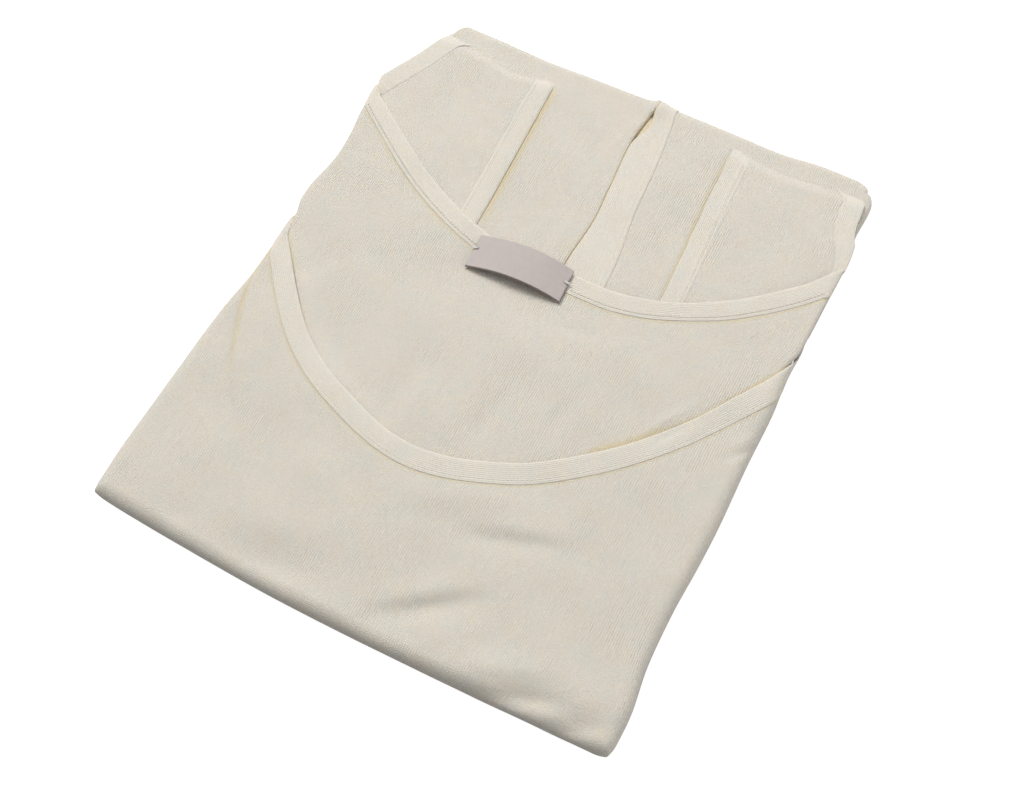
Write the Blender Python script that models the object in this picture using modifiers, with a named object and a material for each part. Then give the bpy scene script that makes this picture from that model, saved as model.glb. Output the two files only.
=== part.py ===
"""A jersey tank top, folded and lying front up.

Lengths are in millimetres and turned to metres as each point is laid. The origin is
under the middle of the folded garment: +X across it, +Y towards the shoulders, +Z up.
Cloth coordinates (across, along) run over a panel as it lies, and on round its folds.
"""

from collections import namedtuple
from math import cos, exp, hypot, pi, radians, sin

import bmesh
import bpy
from mathutils import Vector

MM = 0.001

# Driving sizes of the fold
HALF_WIDTH = 120.0
FOOT_END = -147.0
HEAD_END = 146.5
BAND_WIDTH = 10.0
RIGHT_STRAP_BAND_WIDTH = 9.6
LABEL_LENGTH = 46.5
LABEL_WIDTH = 17.4

# Walls
JERSEY = 1.2
FRONT_JERSEY = 1.3
STRAP_BINDING = 1.8
NECK_BINDING = 2.1
LABEL_WALL = 1.0
SEAM_GAP = 0.3

# Height of the upper face of each layer, and of the hidden layers below it
FLAP_TOP = 6.8
STRAP_BASE = 7.2
BACK_TOP = 10.6
FRONT_TOP = 12.4
HIDDEN_UNDER_FLAPS = 5.2
HIDDEN_UNDER_BACK = 9.0
HIDDEN_UNDER_FRONT = 10.6
FOLD_FOOT = 0.2

# How far each fold stands out past the flat of its panel
FRONT_FOLD = 6.2
FLAP_FOLD = 4.6
BACK_FOLD = 2.4
FOLD_TURN = radians(125)
BACK_TURN = radians(78)

# Places along the garment where a hidden layer ends
TUCKED_END = -25.0
BACK_OVERLAP = 28.0
HIDDEN_STEP_FROM = 13.0
HIDDEN_STEP_TO = 26.0

Stop = namedtuple("Stop", "across along")
Side = namedtuple("Side", "along out")
End = namedtuple("End", "across out")
Edge = namedtuple("Edge", "out up")
Crease = namedtuple("Crease", "across along to_across to_along half_width depth")

# Lines sewn or cut, from the wearer's right to left as the garment lies
FRONT_NECK_SEAM = (
    Stop(-132, 4), Stop(-120, -9), Stop(-114, -18), Stop(-82, -51), Stop(-53, -68), Stop(-10, -79),
    Stop(35, -67), Stop(68, -44), Stop(93, -18), Stop(112, 9.5), Stop(120, 22), Stop(126, 32.5),
    Stop(132, 46),
)
BACK_NECK_SEAM = (
    Stop(-124, 82), Stop(-114, 73), Stop(-73, 46), Stop(-33, 30), Stop(15, 28),
    Stop(51, 31), Stop(83, 46), Stop(109, 67), Stop(124, 85),
)
STRAP_HEAD = (
    Stop(-120, 133.5), Stop(-82, 132.0), Stop(-64, 129.0), Stop(-42, 132.5),
    Stop(49, 135.5), Stop(80, 132.5), Stop(120, 135.5),
)

# Lines that run up the garment, as the distance from the middle at each height
LEFT_STRAP_OUTER = (
    Side(-25, 118.6), Side(60, 118.6), Side(78, 116.5), Side(88, 114.3), Side(112, 102.8), Side(134, 94.5),
)
RIGHT_STRAP_OUTER = (
    Side(-25, 118.6), Side(66, 118.4), Side(84, 116.8), Side(98, 115.0), Side(114, 109.5),
    Side(136, 106.6),
)
LEFT_ARM_SEAM = (Side(-25, 47.0), Side(48, 48.6), Side(106, 51.2), Side(134, 52.4))
RIGHT_ARM_SEAM = (Side(-25, 64.5), Side(52, 64.0), Side(106, 61.2), Side(136, 60.3))
LEFT_FLAP_EDGE = (
    Side(-25, 6.8), Side(46, 7.7), Side(69, 9.1), Side(90, 7.8), Side(122, 5.7), Side(150, 10.2),
)
CENTRE_SEAM = (
    Side(-25, 30.0), Side(40, 28.7), Side(58, 27.4), Side(82, 24.0), Side(106, 22.2),
    Side(131, 19.4), Side(150, 16.0),
)

# How far the sides and the ends bulge out or draw in from straight folds
LEFT_SIDE = (
    Side(-147, 0.8), Side(-120, 1.3), Side(-77, 0.5), Side(-50, -0.2), Side(-28, -2.4), Side(6, -2.4),
    Side(26, -1.8), Side(46, -4.2), Side(60, -3.6), Side(74, -1.4), Side(96, 0.4), Side(146, 0.0),
)
RIGHT_SIDE = (
    Side(-147, 1.0), Side(-128, 1.4), Side(-108, -0.9), Side(-84, -1.1), Side(-62, 0.1),
    Side(-42, 0.7), Side(-10, 0.3), Side(16, 0.7), Side(36, -0.4), Side(52, 0.4), Side(72, 1.1),
    Side(103, 1.6), Side(118, 0.2), Side(132, 0.9), Side(146, 0.2),
)
FOOT_LINE = (
    End(-122, 0.8), End(-100, 2.4), End(-60, 4.2), End(-30, 5.0), End(0, 4.9), End(30, 4.2),
    End(60, 3.2), End(100, 1.6), End(122, 0.8),
)
HEAD_LINE = (
    End(-120, 0.2), End(-100, 0.7), End(-78, 0.0), End(-52, -1.2), End(-28, -0.5), End(0, -0.3),
    End(24, 0.1), End(50, -0.3), End(72, -0.8), End(88, 1.0), End(106, 1.4), End(120, 0.6),
)

# Where the front panel's side folds cover the layers below. The folds' edges slant, on the
# left by less, so a layer higher in the heap comes clear of them ahead.
LEFT_COVERED_TO = 20.0
RIGHT_COVERED_TO = 60.0
UNCOVERED_OVER = 12.0
STRAP_AHEAD = 10.0
BACK_AHEAD = 18.0
LEFT_SLANT = 0.5

# Half widths of the layers, where they are covered and where they are in the open
BACK_COVERED_HALF = 116.6
BACK_OPEN_HALF = 119.8
FLAP_COVERED_HALF = 116.9
FLAP_OPEN_HALF = 119.6
STRAP_COVERED_HALF = 116.4
STRAP_OPEN_HALF = 118.8
STRAP_BAND_COVERED_HALF = 118.0
STRAP_BAND_OPEN_HALF = 120.2

# Section of the hidden layers' edge, top to bottom: two rolled layers with a groove between
HIDDEN_EDGE = (
    Edge(0.0, 1.0), Edge(0.60, 0.90), Edge(0.97, 0.56), Edge(0.70, 0.29),
    Edge(1.00, 0.19), Edge(1.05, 0.10), Edge(0.82, 0.0),
)

# Soft troughs pressed through all the layers, as a share of the height
CREASES = (
    Crease(14, -141, 50, -113, 8.0, 0.040),
    Crease(26, -99, 76, -83, 9.0, 0.030),
    Crease(66, -150, 95, -137, 8.0, 0.070),
    Crease(92, -149, 112, -138, 7.0, 0.050),
    Crease(-58, -139, -12, -131, 10.0, 0.035),
    Crease(-29, -28, -27, -64, 10.0, 0.030),
    Crease(16, -22, 14, -60, 10.0, 0.030),
)

# The tuck down the left of the front panel: its lip, how high it stands and where it lasts
TUCK_LIP = (Side(-96, -70), Side(-90, -80), Side(-81, -91), Side(-60, -101), Side(-28, -114))
TUCK_RISE = 0.9
TUCK_FOOT = (-96.0, -50.0)
TUCK_HEAD = (-20.0, 20.0)
TUCK_SPREAD = (10.0, 45.0)

# The heap's loft, and where its foot end starts to bend
LOFT = 0.07
LOFT_HALF_WIDTH = 135.0
LOFT_HALF_LENGTH = 165.0
FOOT_BENDS = (96.0, 147.0)

# Corners of the folds: 0 is round and 1 is sharp. At the head the left corner is cut away
# by the shoulder's slope, and the right one is rounded to a radius.
FOOT_LEFT_SQUARE = 0.85
FOOT_RIGHT_SQUARE = 0.45
HEAD_CORNER = 11.0
SHOULDER_FROM = 98.0
SHOULDER_SLOPE = 0.0032

# Finishes
CREAM = (0.72, 0.69, 0.60, 1.0)
CREAM_SHADE = (0.62, 0.58, 0.48, 1.0)
LABEL_GREY = (0.50, 0.44, 0.42, 1.0)


def clear_scene():
    for thing in list(bpy.data.objects):
        bpy.data.objects.remove(thing, do_unlink=True)


def within(value, low=0.0, high=1.0):
    return max(low, min(high, value))


def ramp(value, start, end):
    share = within((value - start) / (end - start))
    return share * share * (3 - 2 * share)


def blend(first, second, share):
    return first + (second - first) * share


def through(table, place):
    """The smooth line through a table's rows, read at a place in its first column."""
    last = len(table) - 1
    row = max(i for i in range(last) if i == 0 or table[i][0] <= place)

    def slope(i):
        low, high = max(i - 1, 0), min(i + 1, last)
        return (table[high][1] - table[low][1]) / (table[high][0] - table[low][0])

    (start, low), (end, high) = table[row], table[row + 1]
    span = end - start
    t = (place - start) / span
    if t < 0 or t > 1:
        edge = row if t < 0 else row + 1
        return table[edge][1] + slope(edge) * (place - table[edge][0])
    return (
        low * (1 + 2 * t) * (1 - t) ** 2
        + high * t * t * (3 - 2 * t)
        + slope(row) * span * t * (1 - t) ** 2
        - slope(row + 1) * span * t * t * (1 - t)
    )


def leaning(table, place):
    """How fast that line rises there."""
    step = 0.5
    return (through(table, place + step) - through(table, place - step)) / (2 * step)


# How the whole heap lies

MIDDLE_ACROSS = 0.25
MIDDLE_ALONG = 1.75


def trough(crease, x, y):
    run = Vector((crease.to_across - crease.across, crease.to_along - crease.along))
    off = Vector((x - crease.across, y - crease.along))
    share = within(off.dot(run) / run.length_squared)
    away = (off - run * share).length / crease.half_width
    return crease.depth * (1 - 0.45 * abs(2 * share - 1)) * (1 - ramp(away, 0.0, 1.6))


def lay(x, y, z):
    """A point of the heap, with the heap's own bulges, bends and troughs, in metres."""
    outward = min(abs(x) / HALF_WIDTH, 1.0)
    side = through(LEFT_SIDE if x < 0 else RIGHT_SIDE, within(y, FOOT_END, HEAD_END))
    held = within(x, -HALF_WIDTH, HALF_WIDTH)
    foot = through(FOOT_LINE, held) * ramp(-y, *FOOT_BENDS)
    head = through(HEAD_LINE, held) * within(y / HEAD_END) ** 8
    loft = LOFT * (1 - (x / LOFT_HALF_WIDTH) ** 2) * (1 - (y / LOFT_HALF_LENGTH) ** 2)
    sunk = sum(trough(crease, x, y) for crease in CREASES)
    across = x + (side if x > 0 else -side) * outward**6 + MIDDLE_ACROSS
    return Vector((across, y - foot + head + MIDDLE_ALONG, z * (1 + loft - sunk))) * MM


def round_edge(base, side, end, section, square=0.0):
    """A point at signed shares of the way round a side fold and an end fold.

    Where both folds meet, the rings turn the corner together: square is 0 for a round
    corner and 1 for a sharp one.
    """
    share = max(abs(side), abs(end))
    out, up = section(share)
    if share == 0:
        return base[0], base[1], up
    corner = pi / 4 * min(abs(side), abs(end)) / share
    turn = corner if abs(side) > abs(end) else pi / 2 - corner
    out = out / cos(corner) ** square
    east, north = (1 if side > 0 else -1), (1 if end > 0 else -1)
    return base[0] + east * out * cos(turn), base[1] + north * out * sin(turn), up


def fold_section(top, foot, reach, turn):
    """A half round fold, from the top of the cloth towards its foot."""

    def section(share):
        angle = share * turn
        return reach * sin(angle), foot + (top - foot) / 2 * (1 + cos(angle))

    return section


# Grids of cloth


def stations(place, low_cells, flat_cells, high_cells):
    """Splits a place 0..1 along a grid into (low fold, flat, high fold) shares."""
    cell = place * (low_cells + flat_cells + high_cells)
    low = within((low_cells - cell) / low_cells) if low_cells else 0.0
    high = within((cell - low_cells - flat_cells) / high_cells) if high_cells else 0.0
    return low, within((cell - low_cells) / flat_cells), high


def material(name, colour, roughness):
    finish = bpy.data.materials.new(name)
    finish.use_nodes = True
    shader = finish.node_tree.nodes["Principled BSDF"]
    shader.inputs["Base Color"].default_value = colour
    shader.inputs["Roughness"].default_value = roughness
    shader.inputs["Metallic"].default_value = 0.0
    return finish


def grid_mesh(name, columns, rows, place):
    """A grid whose points are laid by place(across share, along share)."""
    bm = bmesh.new()
    bmesh.ops.create_grid(bm, x_segments=columns, y_segments=rows, size=0.5)
    for point in bm.verts:
        point.co = lay(*place(point.co.x + 0.5, point.co.y + 0.5))
    return bm


def finished(name, bm, finish, collection):
    mesh = bpy.data.meshes.new(name)
    bm.to_mesh(mesh)
    bm.free()
    piece = bpy.data.objects.new(name, mesh)
    piece.data.materials.append(finish)
    collection.objects.link(piece)
    mesh.shade_smooth()
    return piece


def cloth(name, columns, rows, place, wall, finish, collection):
    """A sheet whose outer face is the grid and whose wall goes inwards from it."""
    piece = finished(name, grid_mesh(name, columns, rows, place), finish, collection)
    thick = piece.modifiers.new("Wall", "SOLIDIFY")
    thick.thickness = wall * MM
    thick.offset = -1.0
    thick.use_even_offset = True
    return piece


def foot_square(x):
    return FOOT_LEFT_SQUARE if x < 0 else FOOT_RIGHT_SQUARE


# Front panel and its neck band

FRONT_FLAT = HALF_WIDTH - FRONT_FOLD
FRONT_FOOT = FOOT_END + FRONT_FOLD
FRONT_ARC = FRONT_FOLD * FOLD_TURN
FRONT_SIDE_CELLS = 4
FRONT_FLAT_CELLS = 22


def tuck(across, along):
    """How high the front panel stands where it laps over its own left side."""
    past_lip = across - through(TUCK_LIP, within(along, TUCK_LIP[0].along, TUCK_LIP[-1].along))
    lapped = ramp(past_lip, -2.0, 2.0) * (1 - ramp(past_lip, *TUCK_SPREAD))
    return TUCK_RISE * lapped * ramp(along, *TUCK_FOOT) * (1 - ramp(along, *TUCK_HEAD))


def front_cloth(across, along, proud=0.0):
    """A point of the front panel's outer face, or of what lies proud of it."""
    side = (across - within(across, -FRONT_FLAT, FRONT_FLAT)) / FRONT_ARC
    end = min(along - FRONT_FOOT, 0.0) / FRONT_ARC
    base = within(across, -FRONT_FLAT, FRONT_FLAT), max(along, FRONT_FOOT)
    section = fold_section(FRONT_TOP + proud, FOLD_FOOT, FRONT_FOLD + proud, FOLD_TURN)
    x, y, z = round_edge(base, side, end, section, foot_square(across))
    return x, y, z + tuck(across, along)


def front_across(u):
    """The shared columns of the front panel and its band, so that their seam fits."""
    left, flat, right = stations(u, FRONT_SIDE_CELLS, FRONT_FLAT_CELLS, FRONT_SIDE_CELLS)
    return blend(-FRONT_FLAT, FRONT_FLAT, flat) + (right - left) * FRONT_ARC


def off_seam(table, across, off):
    """How far along a point lies that is off a seam, square to it, towards the head."""
    return through(table, across) + off * hypot(1, leaning(table, across))


def seam_gap(past_fold):
    """The gap at a neck seam, wider round a fold, where the band stands further out."""
    return SEAM_GAP + 0.9 * ramp(past_fold, -2.0, 3.0)


def front_panel(finish, collection):
    foot_cells, length_cells = 4, 16

    def place(u, v):
        across = front_across(u)
        foot, length, _ = stations(v, foot_cells, length_cells, 0)
        top = off_seam(FRONT_NECK_SEAM, across, -seam_gap(abs(across) - FRONT_FLAT))
        return front_cloth(across, blend(FRONT_FOOT, top, length) - foot * FRONT_ARC)

    columns = 2 * FRONT_SIDE_CELLS + FRONT_FLAT_CELLS
    cloth("front_panel", columns, foot_cells + length_cells, place, FRONT_JERSEY, finish, collection)


def band_rise(share, wall, ridge):
    """How proud a bound edge stands, from its seam (0) to its free edge (1)."""
    rolled = wall * (1 - 0.30 * ramp(share, 0.80, 1.0))
    return rolled + ridge * (1 - ramp(share, 0.16, 0.30))


def front_neck_band(finish, collection):
    def place(u, v):
        across = front_across(u)
        proud = NECK_BINDING - FRONT_JERSEY + band_rise(v, 0.0, 0.25)
        return front_cloth(across, off_seam(FRONT_NECK_SEAM, across, v * BAND_WIDTH), proud)

    columns = 2 * FRONT_SIDE_CELLS + FRONT_FLAT_CELLS
    cloth("front_neck_band", columns, 5, place, NECK_BINDING, finish, collection)


# Back panel, its neck band and the label

BACK_SIDE_CELLS = 2
BACK_FLAT_CELLS = 22
BACK_FOLD_DROP = 3.0

# The back panel's drop between the two straps, where nothing lies under it
BACK_SAG = 1.1
BACK_SAG_LEFT = (-46.0, -26.0)
BACK_SAG_RIGHT = (-50.0, -32.0)
BACK_SAG_ALONG = (-10.0, 25.0)


def covered(x, y, ahead=0.0):
    """1 where the front panel's side fold covers the layers below, down to 0."""
    end = LEFT_COVERED_TO - ahead * LEFT_SLANT if x < 0 else RIGHT_COVERED_TO - ahead
    return 1 - ramp(y, end, end + UNCOVERED_OVER)


def back_sag(x, y):
    between = ramp(x, *BACK_SAG_LEFT) * ramp(-x, *BACK_SAG_RIGHT)
    return BACK_SAG * between * ramp(y, *BACK_SAG_ALONG)


def back_cloth(share, fold, along, proud=0.0):
    """share runs -1..1 over the flat, fold -1..1 round the side folds."""
    half = blend(BACK_OPEN_HALF, BACK_COVERED_HALF, covered(share, along, BACK_AHEAD))
    flat = half - BACK_FOLD
    section = fold_section(BACK_TOP + proud, BACK_TOP - BACK_FOLD_DROP, BACK_FOLD + proud, BACK_TURN)
    x, y, z = round_edge((share * flat, along), fold, 0.0, section)
    return x, y, z - back_sag(x, y)


def back_columns(u):
    """The shared columns of the back panel and its band: (flat share, fold share, across)."""
    left, flat, right = stations(u, BACK_SIDE_CELLS, BACK_FLAT_CELLS, BACK_SIDE_CELLS)
    share, fold = 2 * flat - 1, right - left
    return share, fold, share * (HALF_WIDTH - BACK_FOLD) + fold * BACK_FOLD


def overlap_end(across):
    """Where the back panel ends under the front panel."""
    return through(FRONT_NECK_SEAM, within(across, -112, 112)) - BACK_OVERLAP


def back_panel(finish, collection):
    def place(u, v):
        share, fold, across = back_columns(u)
        foot = overlap_end(across)
        top = off_seam(BACK_NECK_SEAM, across, -seam_gap(abs(across) - HALF_WIDTH + BACK_FOLD))
        return back_cloth(share, fold, blend(foot, top, v))

    columns = 2 * BACK_SIDE_CELLS + BACK_FLAT_CELLS
    cloth("back_panel", columns, 12, place, JERSEY, finish, collection)


def back_neck_band(finish, collection):
    def place(u, v):
        share, fold, across = back_columns(u)
        proud = NECK_BINDING - JERSEY + band_rise(v, 0.0, 0.25)
        return back_cloth(share, fold, off_seam(BACK_NECK_SEAM, across, v * BAND_WIDTH), proud)

    columns = 2 * BACK_SIDE_CELLS + BACK_FLAT_CELLS
    cloth("back_neck_band", columns, 5, place, NECK_BINDING, finish, collection)


LABEL_MIDDLE = -8.9
LABEL_TURNED = radians(-3.0)
LABEL_SEAM_OFF = 1.6
LABEL_CLEAR = 0.6
LABEL_ARCH = 3.0
LABEL_BOW = 1.1


def label(finish, collection):
    """The label is tacked at its ends and arches over the seam between them."""
    seam = through(BACK_NECK_SEAM, LABEL_MIDDLE)
    top = BACK_TOP + NECK_BINDING - JERSEY + LABEL_WALL + LABEL_CLEAR

    def place(u, v):
        arched = 1 - (2 * u - 1) ** 2
        run, rise = (u - 0.5) * LABEL_LENGTH, (v - 0.5) * LABEL_WIDTH + LABEL_BOW * arched
        x = LABEL_MIDDLE + run * cos(LABEL_TURNED) + rise * sin(LABEL_TURNED)
        y = seam + LABEL_SEAM_OFF - run * sin(LABEL_TURNED) + rise * cos(LABEL_TURNED)
        return x, y, top + LABEL_ARCH * arched - back_sag(x, y)

    cloth("label", 12, 4, place, LABEL_WALL, finish, collection)


# Straps, folded in behind the back panel

STRAP_END = 132.0
STRAP_BAND_END = 133.0
LEFT_BAND_START = 82.0
RIGHT_BAND_START = 88.0
STRAP_BAND_CLEAR = (94.0, 102.0)


def strap(name, side, outer, arm_seam, finish, collection):
    """side is -1 for the left strap as the garment lies, and 1 for the right."""

    def out_at(along, share):
        inner = through(arm_seam, along) + SEAM_GAP
        limit = blend(STRAP_OPEN_HALF, STRAP_COVERED_HALF, covered(side, along, STRAP_AHEAD))
        edge = through(outer, along) - 3 * SEAM_GAP
        return blend(inner, min(edge, limit), share)

    def place(u, v):
        share = 1 - u if side < 0 else u
        head = through(STRAP_HEAD, side * out_at(STRAP_END, share))
        along = blend(TUCKED_END, head, v)
        return side * out_at(along, share), along, STRAP_BASE + JERSEY

    cloth(name, 9, 14, place, JERSEY, finish, collection)


def arm_band(name, side, arm_seam, finish, collection):
    def place(u, v):
        off = (1 - u if side > 0 else u) * BAND_WIDTH
        out = through(arm_seam, blend(TUCKED_END, STRAP_END, v)) - off
        head = through(STRAP_HEAD, side * out)
        rise = band_rise(off / BAND_WIDTH, STRAP_BINDING, 0.0)
        return side * out, blend(TUCKED_END, head, v), STRAP_BASE + rise

    cloth(name, 5, 14, place, JERSEY, finish, collection)


def strap_neck_band(name, side, outer, start, width, finish, collection):
    def place(u, v):
        share = u if side > 0 else 1 - u
        along = blend(start, STRAP_BAND_END, v)
        seam, lean = through(outer, along), leaning(outer, along)
        limit = blend(STRAP_BAND_COVERED_HALF, STRAP_BAND_OPEN_HALF, ramp(along, *STRAP_BAND_CLEAR))
        reach = min(width * hypot(1, lean), limit - seam)
        return side * (seam + share * reach), along, STRAP_BASE + band_rise(share, STRAP_BINDING, 0.0)

    cloth(name, 4, 8, place, JERSEY, finish, collection)


# Lower body, folded up behind: the two turned-in flaps and the binding between them

BUNCH_RISE = 1.3
BUNCH_ALONG = (134.0, 141.0)
CENTRE_GAP = 0.5
CENTRE_LENS = 2.7
CENTRE_LENS_AT = 129.5
CENTRE_LENS_HALF = 8.5
CENTRE_RIDGE = 0.4


def cut_corner(x, y):
    """The heap narrows towards the shoulder on its left, and is round on its right."""
    if x < 0:
        past_shoulder = max(y - SHOULDER_FROM, 0.0) * ramp(y, SHOULDER_FROM - 2, SHOULDER_FROM + 14)
        return x * (1 - SHOULDER_SLOPE * past_shoulder), y
    start_x, start_y = HALF_WIDTH - HEAD_CORNER, HEAD_END - HEAD_CORNER
    out, far = x - start_x, y - start_y
    if out <= 0 or far <= 0:
        return x, y
    pulled = max(out, far) / hypot(out, far)
    return start_x + out * pulled, start_y + far * pulled


def flap_half(side, along):
    return blend(FLAP_OPEN_HALF, FLAP_COVERED_HALF, covered(side, along)) - FLAP_FOLD


def bunched(past_edge, along):
    """The flap edges and the binding bunch up where they turn over the head fold."""
    return BUNCH_RISE * exp(-(((past_edge - 1.0) / 4.0) ** 2)) * ramp(along, *BUNCH_ALONG)


def flap_point(out_share, inner, side, fold, head, along, proud):
    """out_share runs from the flap's inner edge (0) to the start of its side fold (1)."""
    base_x = blend(inner, side * flap_half(side, along), out_share)
    section = fold_section(FLAP_TOP + proud, FOLD_FOOT, FLAP_FOLD + proud, FOLD_TURN)
    x, y, z = round_edge((base_x, along), side * fold, head, section)
    return *cut_corner(x, y), z


def side_flap(name, side, inner_edge, margin, finish, collection):
    fold_cells, flat_cells, head_cells, length_cells = 3, 11, 4, 13

    def place(u, v):
        left, flat, right = stations(
            u, fold_cells if side < 0 else 0, flat_cells, fold_cells if side > 0 else 0
        )
        _, length, head = stations(v, 0, length_cells, head_cells)
        along = blend(TUCKED_END, HEAD_END - FLAP_FOLD, length)
        inner = inner_edge(along)
        share = flat if side > 0 else 1 - flat
        proud = margin * (1 - ramp(share, 0.05, 0.16))
        if side < 0:
            proud += bunched(share * flap_half(side, along), along)
        return flap_point(share, inner, side, max(left, right), head, along, proud)

    cloth(name, flat_cells + fold_cells, length_cells + head_cells, place, JERSEY, finish, collection)


def left_flap_inner(along):
    return through(LEFT_FLAP_EDGE, along)


def right_flap_inner(along):
    return through(CENTRE_SEAM, along) + SEAM_GAP


def centre_gap(along):
    """The gap between the left flap's edge and the binding, which opens near the head."""
    return CENTRE_GAP + CENTRE_LENS * exp(-(((along - CENTRE_LENS_AT) / CENTRE_LENS_HALF) ** 2))


def centre_band(finish, collection):
    head_cells, length_cells = 4, 13

    def place(u, v):
        _, length, head = stations(v, 0, length_cells, head_cells)
        along = blend(TUCKED_END, HEAD_END - FLAP_FOLD, length)
        inner = left_flap_inner(along) + centre_gap(along)
        x = blend(inner, through(CENTRE_SEAM, along), u)
        proud = STRAP_BINDING - JERSEY + CENTRE_RIDGE * ramp(u, 0.70, 0.88) + bunched(x - inner, along)
        return flap_point(0.0, x, 1, 0.0, head, along, proud)

    cloth("centre_band", 6, length_cells + head_cells, place, JERSEY, finish, collection)


# Hidden layers: one rounded solid, flat underneath

HIDDEN_INSET = 0.4
FLAP_ROLL = 2.4
FRONT_ROLL = 4.5


def past(end, y):
    """How far the hidden layers have stepped up, beyond the end of a covered layer."""
    return ramp(end - y, HIDDEN_STEP_FROM, HIDDEN_STEP_TO)


def hidden_height(x, y):
    """The hidden layers' upper face, which steps up where a covered layer ends."""
    height = blend(HIDDEN_UNDER_FLAPS, HIDDEN_UNDER_BACK, past(TUCKED_END, y))
    return blend(height, HIDDEN_UNDER_FRONT, past(overlap_end(x), y))


def hidden_base(side, along):
    """Half the flat width, and the reach of the rolled edges, at a height along."""
    under_front = past(TUCKED_END, along)
    flat = blend(flap_half(side, along), FRONT_FLAT, under_front) - HIDDEN_INSET
    return flat, blend(FLAP_ROLL, FRONT_ROLL, under_front)


def hidden_layers(finish, collection):
    fold_cells = len(HIDDEN_EDGE) - 1
    flat_cells, length_cells = 16, 24

    def place(u, v):
        left, flat, right = stations(u, fold_cells, flat_cells, fold_cells)
        foot, length, head = stations(v, fold_cells, length_cells, fold_cells)
        across_share, side, end = 2 * flat - 1, right - left, head - foot
        along = blend(FRONT_FOOT + HIDDEN_INSET, HEAD_END - FLAP_FOLD, length)
        half, reach = hidden_base(across_share, along)
        base = across_share * half, along
        height = hidden_height(*base)

        def section(share):
            edge = HIDDEN_EDGE[round(share * fold_cells)]
            return edge.out * reach, edge.up * height

        x, y, z = round_edge(base, side, end, section, foot_square(across_share) if end < 0 else 0.0)
        return *cut_corner(x, y), z

    columns, rows = 2 * fold_cells + flat_cells, 2 * fold_cells + length_cells
    bm = grid_mesh("hidden_layers", columns, rows, place)
    rim = [edge for edge in bm.edges if edge.is_boundary]
    underside = bmesh.ops.edgeloop_fill(bm, edges=rim)["faces"]
    bmesh.ops.triangulate(bm, faces=underside)
    finished("hidden_layers", bm, finish, collection)


def main():
    clear_scene()
    garment = bpy.data.collections.new("tank_top")
    bpy.context.scene.collection.children.link(garment)
    jersey = material("jersey", CREAM, 0.9)
    binding = material("binding", CREAM, 0.85)
    inner = material("folded_layers", CREAM_SHADE, 0.95)
    woven = material("woven_label", LABEL_GREY, 0.5)

    hidden_layers(inner, garment)
    side_flap("left_side_flap", -1, left_flap_inner, 0.5, jersey, garment)
    side_flap("right_side_flap", 1, right_flap_inner, 0.0, jersey, garment)
    centre_band(binding, garment)
    strap("left_strap", -1, LEFT_STRAP_OUTER, LEFT_ARM_SEAM, jersey, garment)
    strap("right_strap", 1, RIGHT_STRAP_OUTER, RIGHT_ARM_SEAM, jersey, garment)
    arm_band("left_armhole_band", -1, LEFT_ARM_SEAM, binding, garment)
    arm_band("right_armhole_band", 1, RIGHT_ARM_SEAM, binding, garment)
    left, right = ("left_strap_neck_band", -1), ("right_strap_neck_band", 1)
    strap_neck_band(*left, LEFT_STRAP_OUTER, LEFT_BAND_START, BAND_WIDTH, binding, garment)
    strap_neck_band(*right, RIGHT_STRAP_OUTER, RIGHT_BAND_START, RIGHT_STRAP_BAND_WIDTH, binding, garment)
    back_panel(jersey, garment)
    back_neck_band(binding, garment)
    label(woven, garment)
    front_panel(jersey, garment)
    front_neck_band(binding, garment)


main()
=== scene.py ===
"""The looks of a cream jersey tank top that lies folded, front up.

Shapes are worked out in millimetres, as the solids are, and laid in metres: across the
folded garment, along it towards the shoulders, and up from what it lies on.
"""

from collections import namedtuple
from math import cos, pi, radians, sin

import bmesh
import bpy
import numpy as np
from mathutils import Matrix, Quaternion, Vector


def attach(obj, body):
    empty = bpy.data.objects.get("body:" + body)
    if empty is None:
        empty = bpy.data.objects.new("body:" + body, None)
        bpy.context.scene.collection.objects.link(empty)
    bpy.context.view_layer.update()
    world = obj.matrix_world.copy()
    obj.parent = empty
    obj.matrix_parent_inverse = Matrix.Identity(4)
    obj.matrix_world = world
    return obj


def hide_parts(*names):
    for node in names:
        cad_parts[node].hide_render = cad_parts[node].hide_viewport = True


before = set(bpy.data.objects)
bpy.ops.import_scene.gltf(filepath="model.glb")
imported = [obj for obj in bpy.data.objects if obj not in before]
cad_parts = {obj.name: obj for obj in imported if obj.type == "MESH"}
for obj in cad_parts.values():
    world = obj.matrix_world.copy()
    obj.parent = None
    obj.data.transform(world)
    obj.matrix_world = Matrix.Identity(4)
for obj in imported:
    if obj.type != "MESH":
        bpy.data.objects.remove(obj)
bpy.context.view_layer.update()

MM = 0.001

# The fold, as the solids have it
HALF_WIDTH = 120.0
FOOT_END = -147.0
HEAD_END = 146.5
BAND_WIDTH = 10.0
LABEL_LENGTH = 46.5
LABEL_WIDTH = 17.4
FLAP_TOP = 6.8
STRAP_TOP = 8.4
BACK_TOP = 10.6
FRONT_TOP = 12.4
FOLD_FOOT = 0.2
HIDDEN_UNDER_FLAPS = 5.2
HIDDEN_UNDER_BACK = 9.0
HIDDEN_UNDER_FRONT = 10.6
FRONT_FOLD = 6.2
FLAP_FOLD = 4.6
BACK_FOLD = 2.4
FOLD_TURN = radians(125)
BACK_TURN = radians(78)
TUCKED_END = -25.0
BACK_OVERLAP = 28.0
OVERLAP_HALF = 112.0
HIDDEN_STEP_FROM = 13.0
HIDDEN_STEP_TO = 26.0
MIDDLE_ACROSS = 0.25
MIDDLE_ALONG = 1.75

# Fine cloth, thinner than the solids' walls, and how far it runs on under what covers it
JERSEY = 0.7
BINDING = 0.6
UNDER_BINDING = 2.4

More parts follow.
